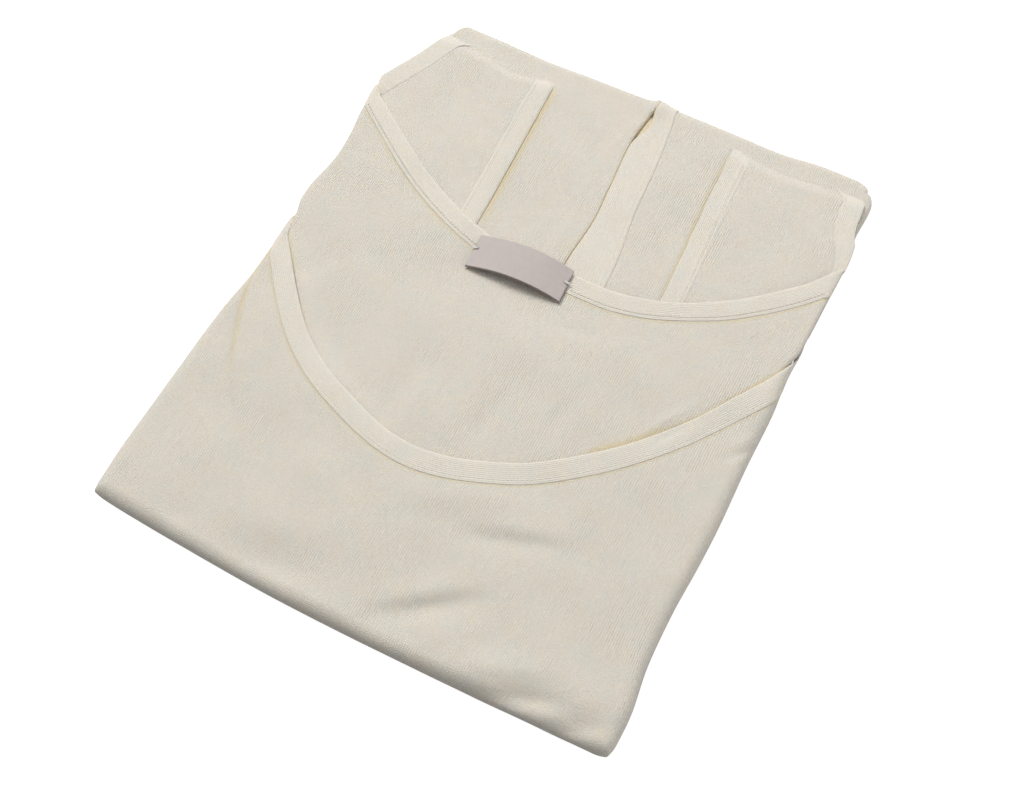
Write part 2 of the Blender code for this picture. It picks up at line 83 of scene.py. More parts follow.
Stop = namedtuple("Stop", "across along")
Side = namedtuple("Side", "along out")
Edge = namedtuple("Edge", "share out up")
Turn = namedtuple("Turn", "share off up")
Crease = namedtuple("Crease", "across along to_across to_along half_width depth")
End = namedtuple("End", "across out")
Fold = namedtuple("Fold", "across along to_across to_along width lean depth")
Swell = namedtuple("Swell", "length turned phase height")
Light = namedtuple("Light", "name place size watts tint")
Row = namedtuple("Row", "low high pitch off height")
Half = namedtuple("Half", "name side strap_outer arm_seam arm_turn neck_shown neck_width neck_turn")

# Lines sewn or cut, from the wearer's right to left as the garment lies
FRONT_NECK_SEAM = (
    Stop(-132, 4), Stop(-120, -9), Stop(-114, -18), Stop(-82, -51), Stop(-53, -68), Stop(-10, -79),
    Stop(35, -67), Stop(68, -44), Stop(93, -18), Stop(112, 9.5), Stop(120, 22), Stop(126, 32.5),
    Stop(132, 46),
)
BACK_NECK_SEAM = (
    Stop(-124, 82), Stop(-114, 73), Stop(-73, 46), Stop(-33, 30), Stop(15, 28),
    Stop(51, 31), Stop(83, 46), Stop(109, 67), Stop(124, 85),
)
STRAP_HEAD = (
    Stop(-120, 133.5), Stop(-82, 132.0), Stop(-64, 129.0), Stop(-42, 132.5),
    Stop(49, 135.5), Stop(80, 132.5), Stop(120, 135.5),
)

# Lines that run up the garment, as the distance from the middle at each height
LEFT_STRAP_OUTER = (
    Side(-25, 118.6), Side(60, 118.6), Side(78, 116.5), Side(88, 114.3), Side(112, 102.8), Side(134, 94.5),
)
RIGHT_STRAP_OUTER = (
    Side(-25, 118.6), Side(66, 118.4), Side(84, 116.8), Side(98, 115.0), Side(114, 109.5), Side(136, 106.6),
)
LEFT_ARM_SEAM = (Side(-25, 47.0), Side(48, 48.6), Side(106, 51.2), Side(134, 52.4))
RIGHT_ARM_SEAM = (Side(-25, 64.5), Side(52, 64.0), Side(106, 61.2), Side(136, 60.3))
LEFT_FLAP_EDGE = (
    Side(-25, 6.8), Side(46, 7.7), Side(69, 9.1), Side(90, 7.8), Side(122, 5.7), Side(150, 10.2),
)
CENTRE_SEAM = (
    Side(-25, 30.0), Side(40, 28.7), Side(58, 27.4), Side(82, 24.0), Side(106, 22.2), Side(131, 19.4),
    Side(150, 16.0),
)

# How wide the left flap's edge is turned in, at each height
TURNED_EDGE = (
    Side(-25, 11.5), Side(76, 11.5), Side(98, 12.2), Side(110, 10.0), Side(126, 6.0), Side(140, 2.4),
)

# How far the two sides and the two ends bulge out or draw in from straight folds
LEFT_SIDE = (
    Side(-147, 0.8), Side(-120, 1.3), Side(-77, 0.5), Side(-50, -0.2), Side(-28, -2.4), Side(6, -2.4),
    Side(26, -1.8), Side(46, -4.2), Side(60, -3.6), Side(74, -1.4), Side(96, 0.4), Side(146, 0.0),
)
RIGHT_SIDE = (
    Side(-147, 1.0), Side(-128, 1.4), Side(-108, -0.9), Side(-84, -1.1), Side(-62, 0.1), Side(-42, 0.7),
    Side(-10, 0.3), Side(16, 0.7), Side(36, -0.4), Side(52, 0.4), Side(72, 1.1), Side(103, 1.6),
    Side(118, 0.2), Side(132, 0.9), Side(146, 0.2),
)
FOOT_LINE = (
    End(-122, 0.8), End(-100, 2.4), End(-60, 4.2), End(-30, 5.0), End(0, 4.9), End(30, 4.2),
    End(60, 3.2), End(100, 1.6), End(122, 0.8),
)
HEAD_LINE = (
    End(-120, 0.2), End(-100, 0.7), End(-78, 0.0), End(-52, -1.2), End(-28, -0.5), End(0, -0.3),
    End(24, 0.1), End(50, -0.3), End(72, -0.8), End(88, 1.0), End(106, 1.4), End(120, 0.6),
)

# Where the front panel's side folds cover the layers below
LEFT_COVERED_TO = 15.0
RIGHT_COVERED_TO = 50.0
UNCOVERED_OVER = 11.0
STRAP_AHEAD = 6.0
BACK_AHEAD = 14.0
LEFT_SLANT = 0.5
BACK_COVERED_HALF = 117.4
BACK_OPEN_HALF = 119.8
FLAP_COVERED_HALF = 118.3
FLAP_OPEN_HALF = 119.6
STRAP_COVERED_HALF = 116.4
STRAP_OPEN_HALF = 118.8

# Section of the hidden layers' edge, top to bottom: rolled plies with grooves between
HIDDEN_EDGE = (
    Edge(0.00, 0.00, 1.00), Edge(0.12, 0.62, 0.95), Edge(0.22, 0.98, 0.84), Edge(0.31, 0.90, 0.74),
    Edge(0.36, 0.66, 0.69), Edge(0.42, 0.88, 0.63), Edge(0.51, 1.02, 0.53), Edge(0.60, 0.88, 0.43),
    Edge(0.65, 0.70, 0.39), Edge(0.71, 0.94, 0.33), Edge(0.80, 1.05, 0.22), Edge(0.90, 0.98, 0.10),
    Edge(1.00, 0.82, 0.00),
)

# Troughs pressed through all the layers, as a share of the height
CREASES = (
    Crease(14, -141, 50, -113, 8.0, 0.040),
    Crease(26, -99, 76, -83, 9.0, 0.030),
    Crease(64, -148, 93, -135, 7.0, 0.065),
    Crease(92, -149, 112, -138, 7.0, 0.050),
    Crease(-58, -139, -12, -131, 10.0, 0.035),
    Crease(-29, -28, -27, -64, 10.0, 0.030),
    Crease(16, -22, 14, -60, 10.0, 0.030),
)

# Lighter creases in the cloth itself, in millimetres: below 0 is a trough, above it a ridge
FOLDS = (
    Fold(20, -91, 64, -76, 4.4, 0.10, 0.50),
    Fold(22, -97, 75, -79, 4.2, -0.20, -0.80),
    Fold(-6, -89, 60, -68, 6.0, 0.10, 0.61),
    Fold(0, -97, 36, -88, 4.6, 0.10, -0.54),
    Fold(9, -132, 43, -110, 4.2, 0.10, 0.75),
    Fold(12, -137, 49, -114, 4.2, -0.30, -1.20),
    Fold(50, -140, 86, -128, 5.0, 0.10, 0.90),
    Fold(34, -154, 70, -148, 6.0, 0.05, -1.10),
    Fold(60, -148, 97, -136, 4.2, -0.10, -1.75),
    Fold(90, -136, 108, -127, 8.0, 0.00, 0.72),
    Fold(90, -150, 113, -138, 4.2, 0.20, -1.36),
    Fold(-60, -126, -10, -117, 8.0, 0.00, 0.56),
    Fold(-62, -141, -8, -132, 6.5, 0.20, -0.80),
    Fold(-88, -134, -74, -141, 6.0, 0.10, -0.48),
    Fold(-77, -80, -57, -97, 7.0, 0.10, -0.51),
    Fold(-50, -88, -34, -104, 8.0, 0.00, 0.40),
    Fold(109, -10, 118, 1, 3.0, 0.00, 0.38),
    Fold(111, -15, 120, -4, 1.6, 0.20, -0.62),
    Fold(-99, -22, -88, 2, 5.0, 0.10, -0.53),
    Fold(-88, -24, -77, 0, 6.0, 0.00, 0.35),
    Fold(75, -20, 88, 2, 2.0, 0.10, 0.50),
    Fold(81, -23, 93, -4, 2.2, 0.10, -0.53),
    Fold(-30, -26, -26, -66, 5.0, 0.30, -0.53),
    Fold(-20, -30, -16, -66, 5.0, 0.10, 0.40),
    Fold(15, -24, 10, -60, 4.5, -0.30, -0.56),
    Fold(24, -22, 20, -58, 5.0, 0.00, 0.40),
    Fold(42, -14, 38, -48, 4.5, 0.20, -0.56),
    Fold(50, -12, 46, -42, 5.0, 0.00, 0.35),
    Fold(16, 11, 38, 13, 3.5, 0.20, -0.40),
    Fold(-86, 10, -60, 2, 6.0, 0.20, -0.40),
    Fold(-70, 100, -58, 84, 5.0, 0.20, -0.28),
    Fold(-22, 120, -10, 98, 4.5, 0.20, -0.31),
    Fold(84, 116, 96, 98, 5.0, 0.10, -0.35),
    Fold(34, 112, 44, 92, 4.0, 0.20, -0.28),
)

# Long soft rises that any cloth keeps when it is folded by hand
SWELLS = (
    Swell(62.0, radians(24), 0.7, 0.15),
    Swell(47.0, radians(101), 2.1, 0.13),
    Swell(38.0, radians(152), 4.0, 0.11),
    Swell(27.0, radians(67), 1.3, 0.08),
    Swell(19.0, radians(12), 5.2, 0.05),
)

# The tuck down the left of the front panel: its lip, and where it starts and ends
TUCK_LIP = (
    Side(-97, -79), Side(-84, -90), Side(-71, -98), Side(-51, -107), Side(-30, -116.4),
)
TUCK_RISE = 1.1
TUCK_DIP = 0.30
# Painted shade beside the tuck's lip: how strong it is, and where it starts
TUCK_PAINTED_SHADE = 0.62
TUCK_STARTS = (-97, -58)
TUCK_PAINTED_SHADE_STARTS = (-84, -52)
TUCK_ENDS = (-22, 6)

# Folded bindings, from the sewn edge, over the flat and back under the free edge: the neck's
# with a bead at its seam, the left armhole's with a thick free edge, and those with a double
# ridge at the seam
NECK_TURN = (
    Turn(0.00, -0.20, -0.10), Turn(0.06, 0.00, 0.10), Turn(0.12, 0.45, 0.20), Turn(0.18, 1.05, 0.22),
    Turn(0.23, 1.70, 0.18), Turn(0.29, 2.50, 0.22), Turn(0.45, 5.20, 0.30), Turn(0.66, 8.60, 0.30),
    Turn(0.75, 9.65, 0.10), Turn(0.80, 9.95, -0.25), Turn(0.85, 9.70, -0.60), Turn(0.92, 8.70, -0.78),
    Turn(1.00, 6.90, -0.80),
)
ROLLED_TURN = (
    Turn(0.00, -0.20, -0.30), Turn(0.08, 0.20, 0.12), Turn(0.16, 0.90, 0.22), Turn(0.23, 1.75, 0.17),
    Turn(0.30, 2.60, 0.22), Turn(0.45, 5.20, 0.22), Turn(0.64, 8.40, -0.02), Turn(0.73, 9.55, -0.28),
    Turn(0.79, 10.00, -0.62), Turn(0.85, 9.75, -0.95), Turn(0.92, 8.70, -1.12), Turn(1.00, 6.90, -1.14),
)
RIDGED_TURN = (
    Turn(0.00, -0.25, -0.30), Turn(0.05, -0.05, 0.06), Turn(0.10, 0.45, 0.23), Turn(0.15, 1.10, 0.26),
    Turn(0.20, 1.75, 0.17), Turn(0.25, 2.40, 0.24), Turn(0.30, 3.05, 0.23), Turn(0.36, 3.70, 0.17),
    Turn(0.42, 4.60, 0.17), Turn(0.62, 8.00, 0.18), Turn(0.72, 9.50, 0.06), Turn(0.79, 9.95, -0.20),
    Turn(0.85, 9.70, -0.55), Turn(0.92, 8.70, -0.80), Turn(1.00, 6.90, -0.85),
)

# The two halves, as the garment lies: each strap's edges, its bindings' turns, and the stretch
# along which its neck binding shows
LEFT = Half("left", -1, LEFT_STRAP_OUTER, LEFT_ARM_SEAM, ROLLED_TURN, (82.0, 137.5), BAND_WIDTH, NECK_TURN)
RIGHT = Half("right", 1, RIGHT_STRAP_OUTER, RIGHT_ARM_SEAM, RIDGED_TURN, (88.0, 138.0), 9.6, RIDGED_TURN)

# Rows of stitches, from the low end to the high end of their seams
COVERSTITCH = Row(-118, 118, 1.75, 2.0, 0.31)
COVERSTITCH_SWING = 1.1
FRONT_STITCHES = Row(-116, 116, 2.0, 1.85, 0.29)
ARMHOLE_STITCHES = Row(30, 129, 2.0, 1.85, 0.46)
COVERSTITCH_THREAD = 0.17
FRONT_THREAD = 0.15
ARMHOLE_THREAD = 0.14
TACK_THREAD = 0.17


# Camera at the photograph's angle

LENS_MM = 46.35
SENSOR_MM = 36.0
CAMERA_PLACE = Vector((0.13604, -0.23883, 0.51945))
CAMERA_AZIMUTH = radians(29.73)
CAMERA_ELEVATION = radians(64.65)
CAMERA_ROLL = radians(-2.39)


def camera():
    back = Vector((
        sin(CAMERA_AZIMUTH) * cos(CAMERA_ELEVATION),
        -cos(CAMERA_AZIMUTH) * cos(CAMERA_ELEVATION),
        sin(CAMERA_ELEVATION),
    ))
    data = bpy.data.cameras.new("photo_camera")
    data.lens = LENS_MM
    data.sensor_width = SENSOR_MM
    seen = bpy.data.objects.new("photo_camera", data)
    seen.location = CAMERA_PLACE
    seen.rotation_mode = "QUATERNION"
    seen.rotation_quaternion = (-back).to_track_quat("-Z", "Y") @ Quaternion((0, 0, 1), CAMERA_ROLL)
    bpy.context.scene.collection.objects.link(seen)
    bpy.context.scene.camera = seen


# Light and floor: soft boxes in metres, a white world and a white board

LIGHTS = (
    Light("key_light", (-1.90, 1.60, 2.40), 1.8, 114.0, (1.0, 0.99, 0.97)),
    Light("top_light", (0.1, 0.1, 1.7), 1.4, 3.0, (1.0, 1.0, 1.0)),
    Light("side_light", (1.70, 0.55, 0.38), 1.1, 12.0, (1.0, 0.99, 0.98)),
)
WORLD_STRENGTH = 0.325
BOARD_HALF = 2.0
BOARD_DROP = 0.2
BOARD_SHINE = 0.9
BOARD_TOOTH = 10 / 3


def soft_light(light):
    data = bpy.data.lights.new(light.name, "AREA")
    data.shape = "DISK"
    data.size = light.size
    data.energy = light.watts
    data.color = light.tint
    lamp = bpy.data.objects.new(light.name, data)
    lamp.location = light.place
    lamp.rotation_mode = "QUATERNION"
    lamp.rotation_quaternion = (-Vector(light.place)).to_track_quat("-Z", "Y")
    bpy.context.scene.collection.objects.link(lamp)


def studio():
    for light in LIGHTS:
        soft_light(light)
    world = bpy.data.worlds.new("studio")
    world.use_nodes = True
    sky = world.node_tree.nodes["Background"]
    sky.inputs["Color"].default_value = (1.0, 1.0, 1.0, 1.0)
    sky.inputs["Strength"].default_value = WORLD_STRENGTH
    bpy.context.scene.world = world
    bpy.context.scene.view_settings.view_transform = "Standard"


# Finishes


def linear(hex_colour):
    """An sRGB hex colour as the linear RGBA that a shader takes."""
    parts = [int(hex_colour[i:i + 2], 16) / 255 for i in (1, 3, 5)]
    return (*[p / 12.92 if p <= 0.04045 else ((p + 0.055) / 1.055) ** 2.4 for p in parts], 1.0)


def add(tree, kind, settings=None, **links):
    """Adds a shader node. A link is named for its socket, or is _ and the socket's number."""
    made = tree.nodes.new("ShaderNode" + kind)
    for name, value in (settings or {}).items():
        setattr(made, name, value)
    for socket, value in links.items():
        place = int(socket[1:]) if socket[1:].isdigit() else socket.replace("_", " ")
        if isinstance(value, bpy.types.NodeSocket):
            tree.links.new(value, made.inputs[place])
        else:
            made.inputs[place].default_value = value
    return made


# What a node does with its inputs
TIMES = {"operation": "MULTIPLY"}
TIMES_AND_ADD = {"operation": "MULTIPLY_ADD"}
SINE = {"operation": "SINE"}
COLOURS = {"data_type": "RGBA"}


def new_finish(name, roughness, sheen, under_skin):
    """A cloth or thread that is not metal, with its fuzz and the light that goes below its skin."""
    finish = bpy.data.materials.new(name)
    finish.use_nodes = True
    shader = finish.node_tree.nodes["Principled BSDF"]
    shader.inputs["Roughness"].default_value = roughness
    shader.inputs["IOR"].default_value = 1.5
    shader.inputs["Specular IOR Level"].default_value = 0.25
    shader.inputs["Sheen Weight"].default_value = sheen
    shader.inputs["Sheen Roughness"].default_value = 0.5
    shader.inputs["Subsurface Weight"].default_value = under_skin
    shader.inputs["Subsurface Radius"].default_value = (1.0, 0.72, 0.36)
    shader.inputs["Subsurface Scale"].default_value = 2.0 * MM
    return finish, finish.node_tree


def dyed(finish, colour, bump):
    """The finish with its colour and its relief linked in."""
    links = finish.node_tree.links
    shader = finish.node_tree.nodes["Principled BSDF"]
    links.new(colour.outputs[2], shader.inputs["Base Color"])
    links.new(bump.outputs[0], shader.inputs["Normal"])
    return finish


def cut_places(tree):
    """Where a point lies across and along its own piece's cut."""
    cut = add(tree, "UVMap", {"uv_map": "cut"})
    split = add(tree, "SeparateXYZ", _0=cut.outputs["UV"])
    return split.outputs["X"], split.outputs["Y"]


# Spacing of the knit's wales and courses, as measured where the front panel shows them, and
# of the finer knit of the bindings beside it
WALE = 1.06
COURSE = 0.86
FINER = 0.85

# The jersey's worn patches, clouds of tone and flecks, and its nap, which is drawn coarser than
# the fibres so that it shows
PATCH = 31.25
CLOUD = 100 / 9
FLECK = 10 / 9
NAP = 2 / 3

# The label's ribs and warp, drawn coarser than a ribbon's so that they show, its uneven
# tone, and the twist of the sewing thread
RIB = 0.45
WARP = 0.40
RIBBON_PATCH = 100 / 42
THREAD_TWIST = 0.4

CREAM_WARM = linear("#E5DCCE")
CREAM_COOL = linear("#E1DCD1")
# Painted shade: golden colour mixed into the jersey in its crevices, seams and gaps, for the shade and the
# warm light passed between plies there
PAINTED_GOLDEN_SHADE = linear("#DFCDA4")
RIBBON_TONES = ("#C0B6B2", "#B5ACA8")
REVERSE_TONES = ("#A89C96", "#9A8F89")
CREAM_THREAD = "#ECE7DA"
WHITE_THREAD = "#F1EFEA"


def knit(tree, wale, course):
    """The height of plain jersey, 0 to 1: each wale is a column of V-shaped loops."""
    on_x, on_y = cut_places(tree)
    across = add(tree, "Math", TIMES, _0=on_x, _1=1 / (wale * MM))
    along = add(tree, "Math", TIMES, _0=on_y, _1=1 / (course * MM))
    leg = add(tree, "Math", {"operation": "PINGPONG"}, _0=across.outputs[0], _1=0.5)
    slant = add(tree, "Math", TIMES_AND_ADD, _0=leg.outputs[0], _1=1.1, _2=along.outputs[0])
    turn = add(tree, "Math", TIMES, _0=slant.outputs[0], _1=2 * pi)
    loop = add(tree, "Math", SINE, _0=turn.outputs[0])
    rounded = add(tree, "Math", TIMES, _0=leg.outputs[0], _1=pi)
    column = add(tree, "Math", SINE, _0=rounded.outputs[0])
    shaped = add(tree, "Math", TIMES_AND_ADD, _0=loop.outputs[0], _1=0.20, _2=0.80)
    whole = add(tree, "Math", TIMES, _0=column.outputs[0], _1=shaped.outputs[0])
    return whole.outputs[0]


def jersey(name, wale, course, relief, roughness):
    """Fine cotton and wool jersey, knitted plain, washed and brushed.

    It is matt, with faint lines of wales, a soft nap that catches light at its edges, and
    a golden colour painted into its crevices, seams and gaps as painted shade and light passed from ply to
    ply.
    """
    finish, tree = new_finish(name, roughness, sheen=0.25, under_skin=0.12)
    here = add(tree, "TexCoord").outputs["Object"]
    clouds = add(tree, "TexNoise", Vector=here, Scale=1 / (CLOUD * MM), Detail=4.0, Roughness=0.7)
    speckle = add(tree, "TexNoise", Vector=here, Scale=1 / (FLECK * MM), Detail=3.0, Roughness=0.75)
    warm = add(tree, "MapRange", Value=clouds.outputs["Fac"], From_Min=0.38, From_Max=0.62)
    tone = add(tree, "Mix", COLOURS, _0=warm.outputs[0], _6=CREAM_COOL, _7=CREAM_WARM)
    patches = add(tree, "TexNoise", Vector=here, Scale=1 / (PATCH * MM), Detail=3.0, Roughness=0.6)
    worn = add(tree, "MapRange", Value=patches.outputs["Fac"], From_Min=0.40, From_Max=0.60, To_Min=0.15)
    loops = add(tree, "Math", TIMES, _0=knit(tree, wale, course), _1=worn.outputs[0])
    # Painted shade: the knit's hollows are painted darker and its loops lighter, as its relief would be lit
    shade = add(tree, "MapRange", Value=loops.outputs[0], To_Min=0.925, To_Max=1.05)
    flecks = add(tree, "MapRange", Value=speckle.outputs["Fac"], From_Min=0.3, From_Max=0.7,
                 To_Min=0.95, To_Max=1.045)
    fleck = add(tree, "Math", TIMES, _0=shade.outputs[0], _1=flecks.outputs[0])
    flecked = add(tree, "VectorMath", {"operation": "SCALE"}, _0=tone.outputs[2], Scale=fleck.outputs[0])
    # Painted shade: golden colour mixed in by a per-point mask that each piece paints into its crevices,
    # seams and gaps
    painted_shade = add(tree, "Attribute", {"attribute_name": "painted_shade"})
    with_painted_shade = add(tree, "Mix", COLOURS, _0=painted_shade.outputs["Fac"], _6=flecked.outputs[0], _7=PAINTED_GOLDEN_SHADE)
    nap = add(tree, "TexNoise", Vector=here, Scale=1 / (NAP * MM), Detail=4.0, Roughness=0.75)
    fluffy = add(tree, "Math", TIMES_AND_ADD, _0=nap.outputs["Fac"], _1=1.8, _2=loops.outputs[0])
    bump = add(tree, "Bump", Strength=1.0, Distance=relief * MM, Height=fluffy.outputs[0])
    return dyed(finish, with_painted_shade, bump)


def satin(name, tone, shade):
    """Woven satin ribbon of polyester: fine ribs across the warp and a soft gloss."""
    finish, tree = new_finish(name, 0.42, sheen=0.1, under_skin=0.0)
    on_x, on_y = cut_places(tree)
    weft = add(tree, "Math", TIMES, _0=on_y, _1=2 * pi / (RIB * MM))
    rib = add(tree, "Math", SINE, _0=weft.outputs[0])
    warp = add(tree, "Math", TIMES, _0=on_x, _1=2 * pi / (WARP * MM))
    line = add(tree, "Math", SINE, _0=warp.outputs[0])
    woven = add(tree, "Math", TIMES, _0=rib.outputs[0], _1=line.outputs[0])
    here = add(tree, "TexCoord").outputs["Object"]
    uneven = add(tree, "TexNoise", Vector=here, Scale=1 / (RIBBON_PATCH * MM), Detail=2.0)
    colour = add(tree, "Mix", COLOURS, _0=uneven.outputs["Fac"], _6=linear(tone), _7=linear(shade))
    bump = add(tree, "Bump", Strength=0.6, Distance=0.05 * MM, Height=woven.outputs[0])
    return dyed(finish, colour, bump)


def thread(name, tone):
    """Spun polyester sewing thread: two plies twisted, with a slight gloss."""
    finish, tree = new_finish(name, 0.6, sheen=0.15, under_skin=0.05)
    here = add(tree, "TexCoord").outputs["Object"]
    plies = add(tree, "TexNoise", Vector=here, Scale=1 / (THREAD_TWIST * MM), Detail=2.0)
    shade = [0.86 * c for c in linear(tone)[:3]] + [1.0]
    colour = add(tree, "Mix", COLOURS, _0=plies.outputs["Fac"], _6=linear(tone), _7=shade)
    bump = add(tree, "Bump", Strength=0.5, Distance=0.05 * MM, Height=plies.outputs["Fac"])
    return dyed(finish, colour, bump)


def floor_board():
    """A plain sheet of matt board, exposed to white, with the faint tooth of its coating."""
    bm = bmesh.new()
    bmesh.ops.create_grid(bm, x_segments=8, y_segments=8, size=BOARD_HALF)
    board = finished("floor", bm)
    board.location.z = -BOARD_DROP * MM
    finish = bpy.data.materials.new("matt_white_board")
    finish.use_nodes = True
    tree = finish.node_tree
    shader = tree.nodes["Principled BSDF"]
    shader.inputs["Roughness"].default_value = 0.95
    shader.inputs["Emission Color"].default_value = (1.0, 1.0, 1.0, 1.0)
    seen = add(tree, "LightPath").outputs["Is Camera Ray"]
    shine = add(tree, "Math", TIMES, _0=seen, _1=BOARD_SHINE)
    tree.links.new(shine.outputs[0], shader.inputs["Emission Strength"])
    here = add(tree, "TexCoord").outputs["Object"]
    tooth = add(tree, "TexNoise", Vector=here, Scale=1 / (BOARD_TOOTH * MM))
    tone = add(tree, "Mix", COLOURS, _0=tooth.outputs["Fac"], _6=linear("#B4B4B4"), _7=linear("#B0B0B1"))
    tree.links.new(tone.outputs[2], shader.inputs["Base Color"])
    board.data.materials.append(finish)


# How the garment lies

# How much fuller the heap is in its middle, and the half width and length that it fades over
LOFT = 0.07
LOFT_ACROSS = 135
LOFT_ALONG = 165


def ramp(value, start, end):
    """Rises smoothly from 0 at start to 1 at end."""
    share = np.clip((value - start) / (end - start), 0.0, 1.0)
    return share * share * (3 - 2 * share)


def hill(value, top, width):
    """1 at the top and falling away on both sides of it, like a bell."""
    return np.exp(-((value - top) / width) ** 2)


def blend(first, second, share):
    return first + (second - first) * share


def through(table, place, column=1):
    """The smooth line through a table's rows, read at places in its first column."""
    at = np.array([row[0] for row in table], float)
    value = np.array([row[column] for row in table], float)
    slope = np.concatenate((
        [(value[1] - value[0]) / (at[1] - at[0])],
        (value[2:] - value[:-2]) / (at[2:] - at[:-2]),
        [(value[-1] - value[-2]) / (at[-1] - at[-2])],
    ))
    row = np.clip(np.searchsorted(at, place, side="right") - 1, 0, len(at) - 2)
    span = at[row + 1] - at[row]
    t = (place - at[row]) / span
    inside = (
        value[row] * (1 + 2 * t) * (1 - t) ** 2
        + value[row + 1] * t * t * (3 - 2 * t)
        + slope[row] * span * t * (1 - t) ** 2
        - slope[row + 1] * span * t * t * (1 - t)
    )
    before = value[0] + slope[0] * (place - at[0])
    after = value[-1] + slope[-1] * (place - at[-1])
    return np.where(t < 0, before, np.where(t > 1, after, inside))


def held_through(table, place):
    """The same line, held level beyond the table's ends."""
    return through(table, np.clip(place, table[0][0], table[-1][0]))


def leaning(table, place):
    """How fast the line through a table rises at a place."""
    step = 0.5
    return (through(table, place + step) - through(table, place - step)) / (2 * step)


def off_line(line, x, y):
    """How far along a straight line a point lies, as a share, and how far off it, signed."""
    run = np.array((line.to_across - line.across, line.to_along - line.along), float)
    length = np.hypot(*run)
    dx, dy = x - line.across, y - line.along
    share = np.clip((dx * run[0] + dy * run[1]) / length ** 2, 0.0, 1.0)
    away_x, away_y = dx - share * run[0], dy - share * run[1]
    side = np.sign(run[0] * away_y - run[1] * away_x)
    return share, side * np.hypot(away_x, away_y)


def trough(crease, x, y):
    """How deep a pressed crease is, as a share of the height."""
    share, away = off_line(crease, x, y)
    deep = 1 - 0.45 * np.abs(2 * share - 1)
    return crease.depth * deep * (1 - ramp(np.abs(away) / crease.half_width, 0.0, 1.6))


def soft_folds(x, y):
    """The height of the lighter creases, steeper on one side than on the other."""
    rise = np.zeros_like(x)
    for fold in FOLDS:
        share, away = off_line(fold, x, y)
        width = fold.width * (1 + fold.lean * np.sign(away))
        fade = np.sin(pi * np.clip(0.12 + 0.76 * share, 0, 1)) ** 1.5
        rise += fold.depth * fade * hill(away, 0.0, width)
    return rise


def swells(x, y):
    """The height of the long soft rises."""
    rise = np.zeros_like(x)
    for swell in SWELLS:
        run = x * cos(swell.turned) + y * sin(swell.turned)
        rise += swell.height * np.sin(2 * pi * run / swell.length + swell.phase)
    return rise


def lay(x, y, z):
    """Points of the garment, with its bulges, bends and creases, in metres."""
    outward = np.minimum(np.abs(x) / HALF_WIDTH, 1.0)
    held = np.clip(y, FOOT_END, HEAD_END)
    side = np.where(x < 0, -through(LEFT_SIDE, held), through(RIGHT_SIDE, held))
    spread = np.clip(x, -HALF_WIDTH, HALF_WIDTH)
    foot = through(FOOT_LINE, spread) * ramp(-y, 96, 147)
    head = through(HEAD_LINE, spread) * np.clip(y / HEAD_END, 0.0, 1.0) ** 8
    loft = LOFT * (1 - (x / LOFT_ACROSS) ** 2) * (1 - (y / LOFT_ALONG) ** 2)
    sunk = sum(trough(crease, x, y) for crease in CREASES)
    across = x + side * outward ** 6
    along = y - foot + head
    lively = (soft_folds(x, y) + swells(x, y)) * ramp(z, 2.0, 9.0)
    up = z * (1 + loft - sunk) + lively
    return np.stack((across + MIDDLE_ACROSS, along + MIDDLE_ALONG, up), axis=-1) * MM


def round_edge(base_x, base_y, side, end, section, square=0.0):
    """Points at signed shares of the way round a side fold and an end fold.

    Where both folds meet, square is 0 for a round corner and 1 for a sharp one.
    """
    side, end = side + 0 * base_x, end + 0 * base_x
    share = np.maximum(np.abs(side), np.abs(end))
    out, up = section(share)
    low, high = np.minimum(np.abs(side), np.abs(end)), np.maximum(share, 1e-9)
    corner = pi / 4 * low / high
    turn = np.where(np.abs(side) > np.abs(end), corner, pi / 2 - corner)
    east, north = np.where(side > 0, 1.0, -1.0), np.where(end > 0, 1.0, -1.0)
    moved = share > 0
    out = out / np.cos(corner) ** square
    x = base_x + np.where(moved, east * out * np.cos(turn), 0.0)
    y = base_y + np.where(moved, north * out * np.sin(turn), 0.0)
    return x, y, up


def fold_section(top, foot, reach, turn):
    """A half round fold, from the top of the cloth towards its foot."""

    def section(share):
        angle = share * turn
        return reach * np.sin(angle), foot + (top - foot) / 2 * (1 + np.cos(angle))

    return section


def stations(place, low_cells, flat_cells, high_cells):
    """Splits places 0..1 along a grid into (low fold, flat, high fold) shares."""
    cell = place * (low_cells + flat_cells + high_cells)
    low = np.clip((low_cells - cell) / max(low_cells, 1), 0.0, 1.0)
    flat = np.clip((cell - low_cells) / flat_cells, 0.0, 1.0)
    high = np.clip((cell - low_cells - flat_cells) / max(high_cells, 1), 0.0, 1.0)
    return low * (low_cells > 0), flat, high * (high_cells > 0)


def off_seam(table, across, off):
    """How far along a point lies that is off a seam, square to it, towards the head."""
    return through(table, across) + off * np.hypot(1, leaning(table, across))


def near_seam(table, across, along):
    """How far off a seam a point lies, square to it."""
    return (along - through(table, across)) / np.hypot(1, leaning(table, across))


# Making pieces


def finished(name, bm):
    mesh = bpy.data.meshes.new(name)
    bm.to_mesh(mesh)
    bm.free()
    mesh.shade_smooth()
    piece = bpy.data.objects.new(name, mesh)
    bpy.context.scene.collection.objects.link(piece)
    return piece


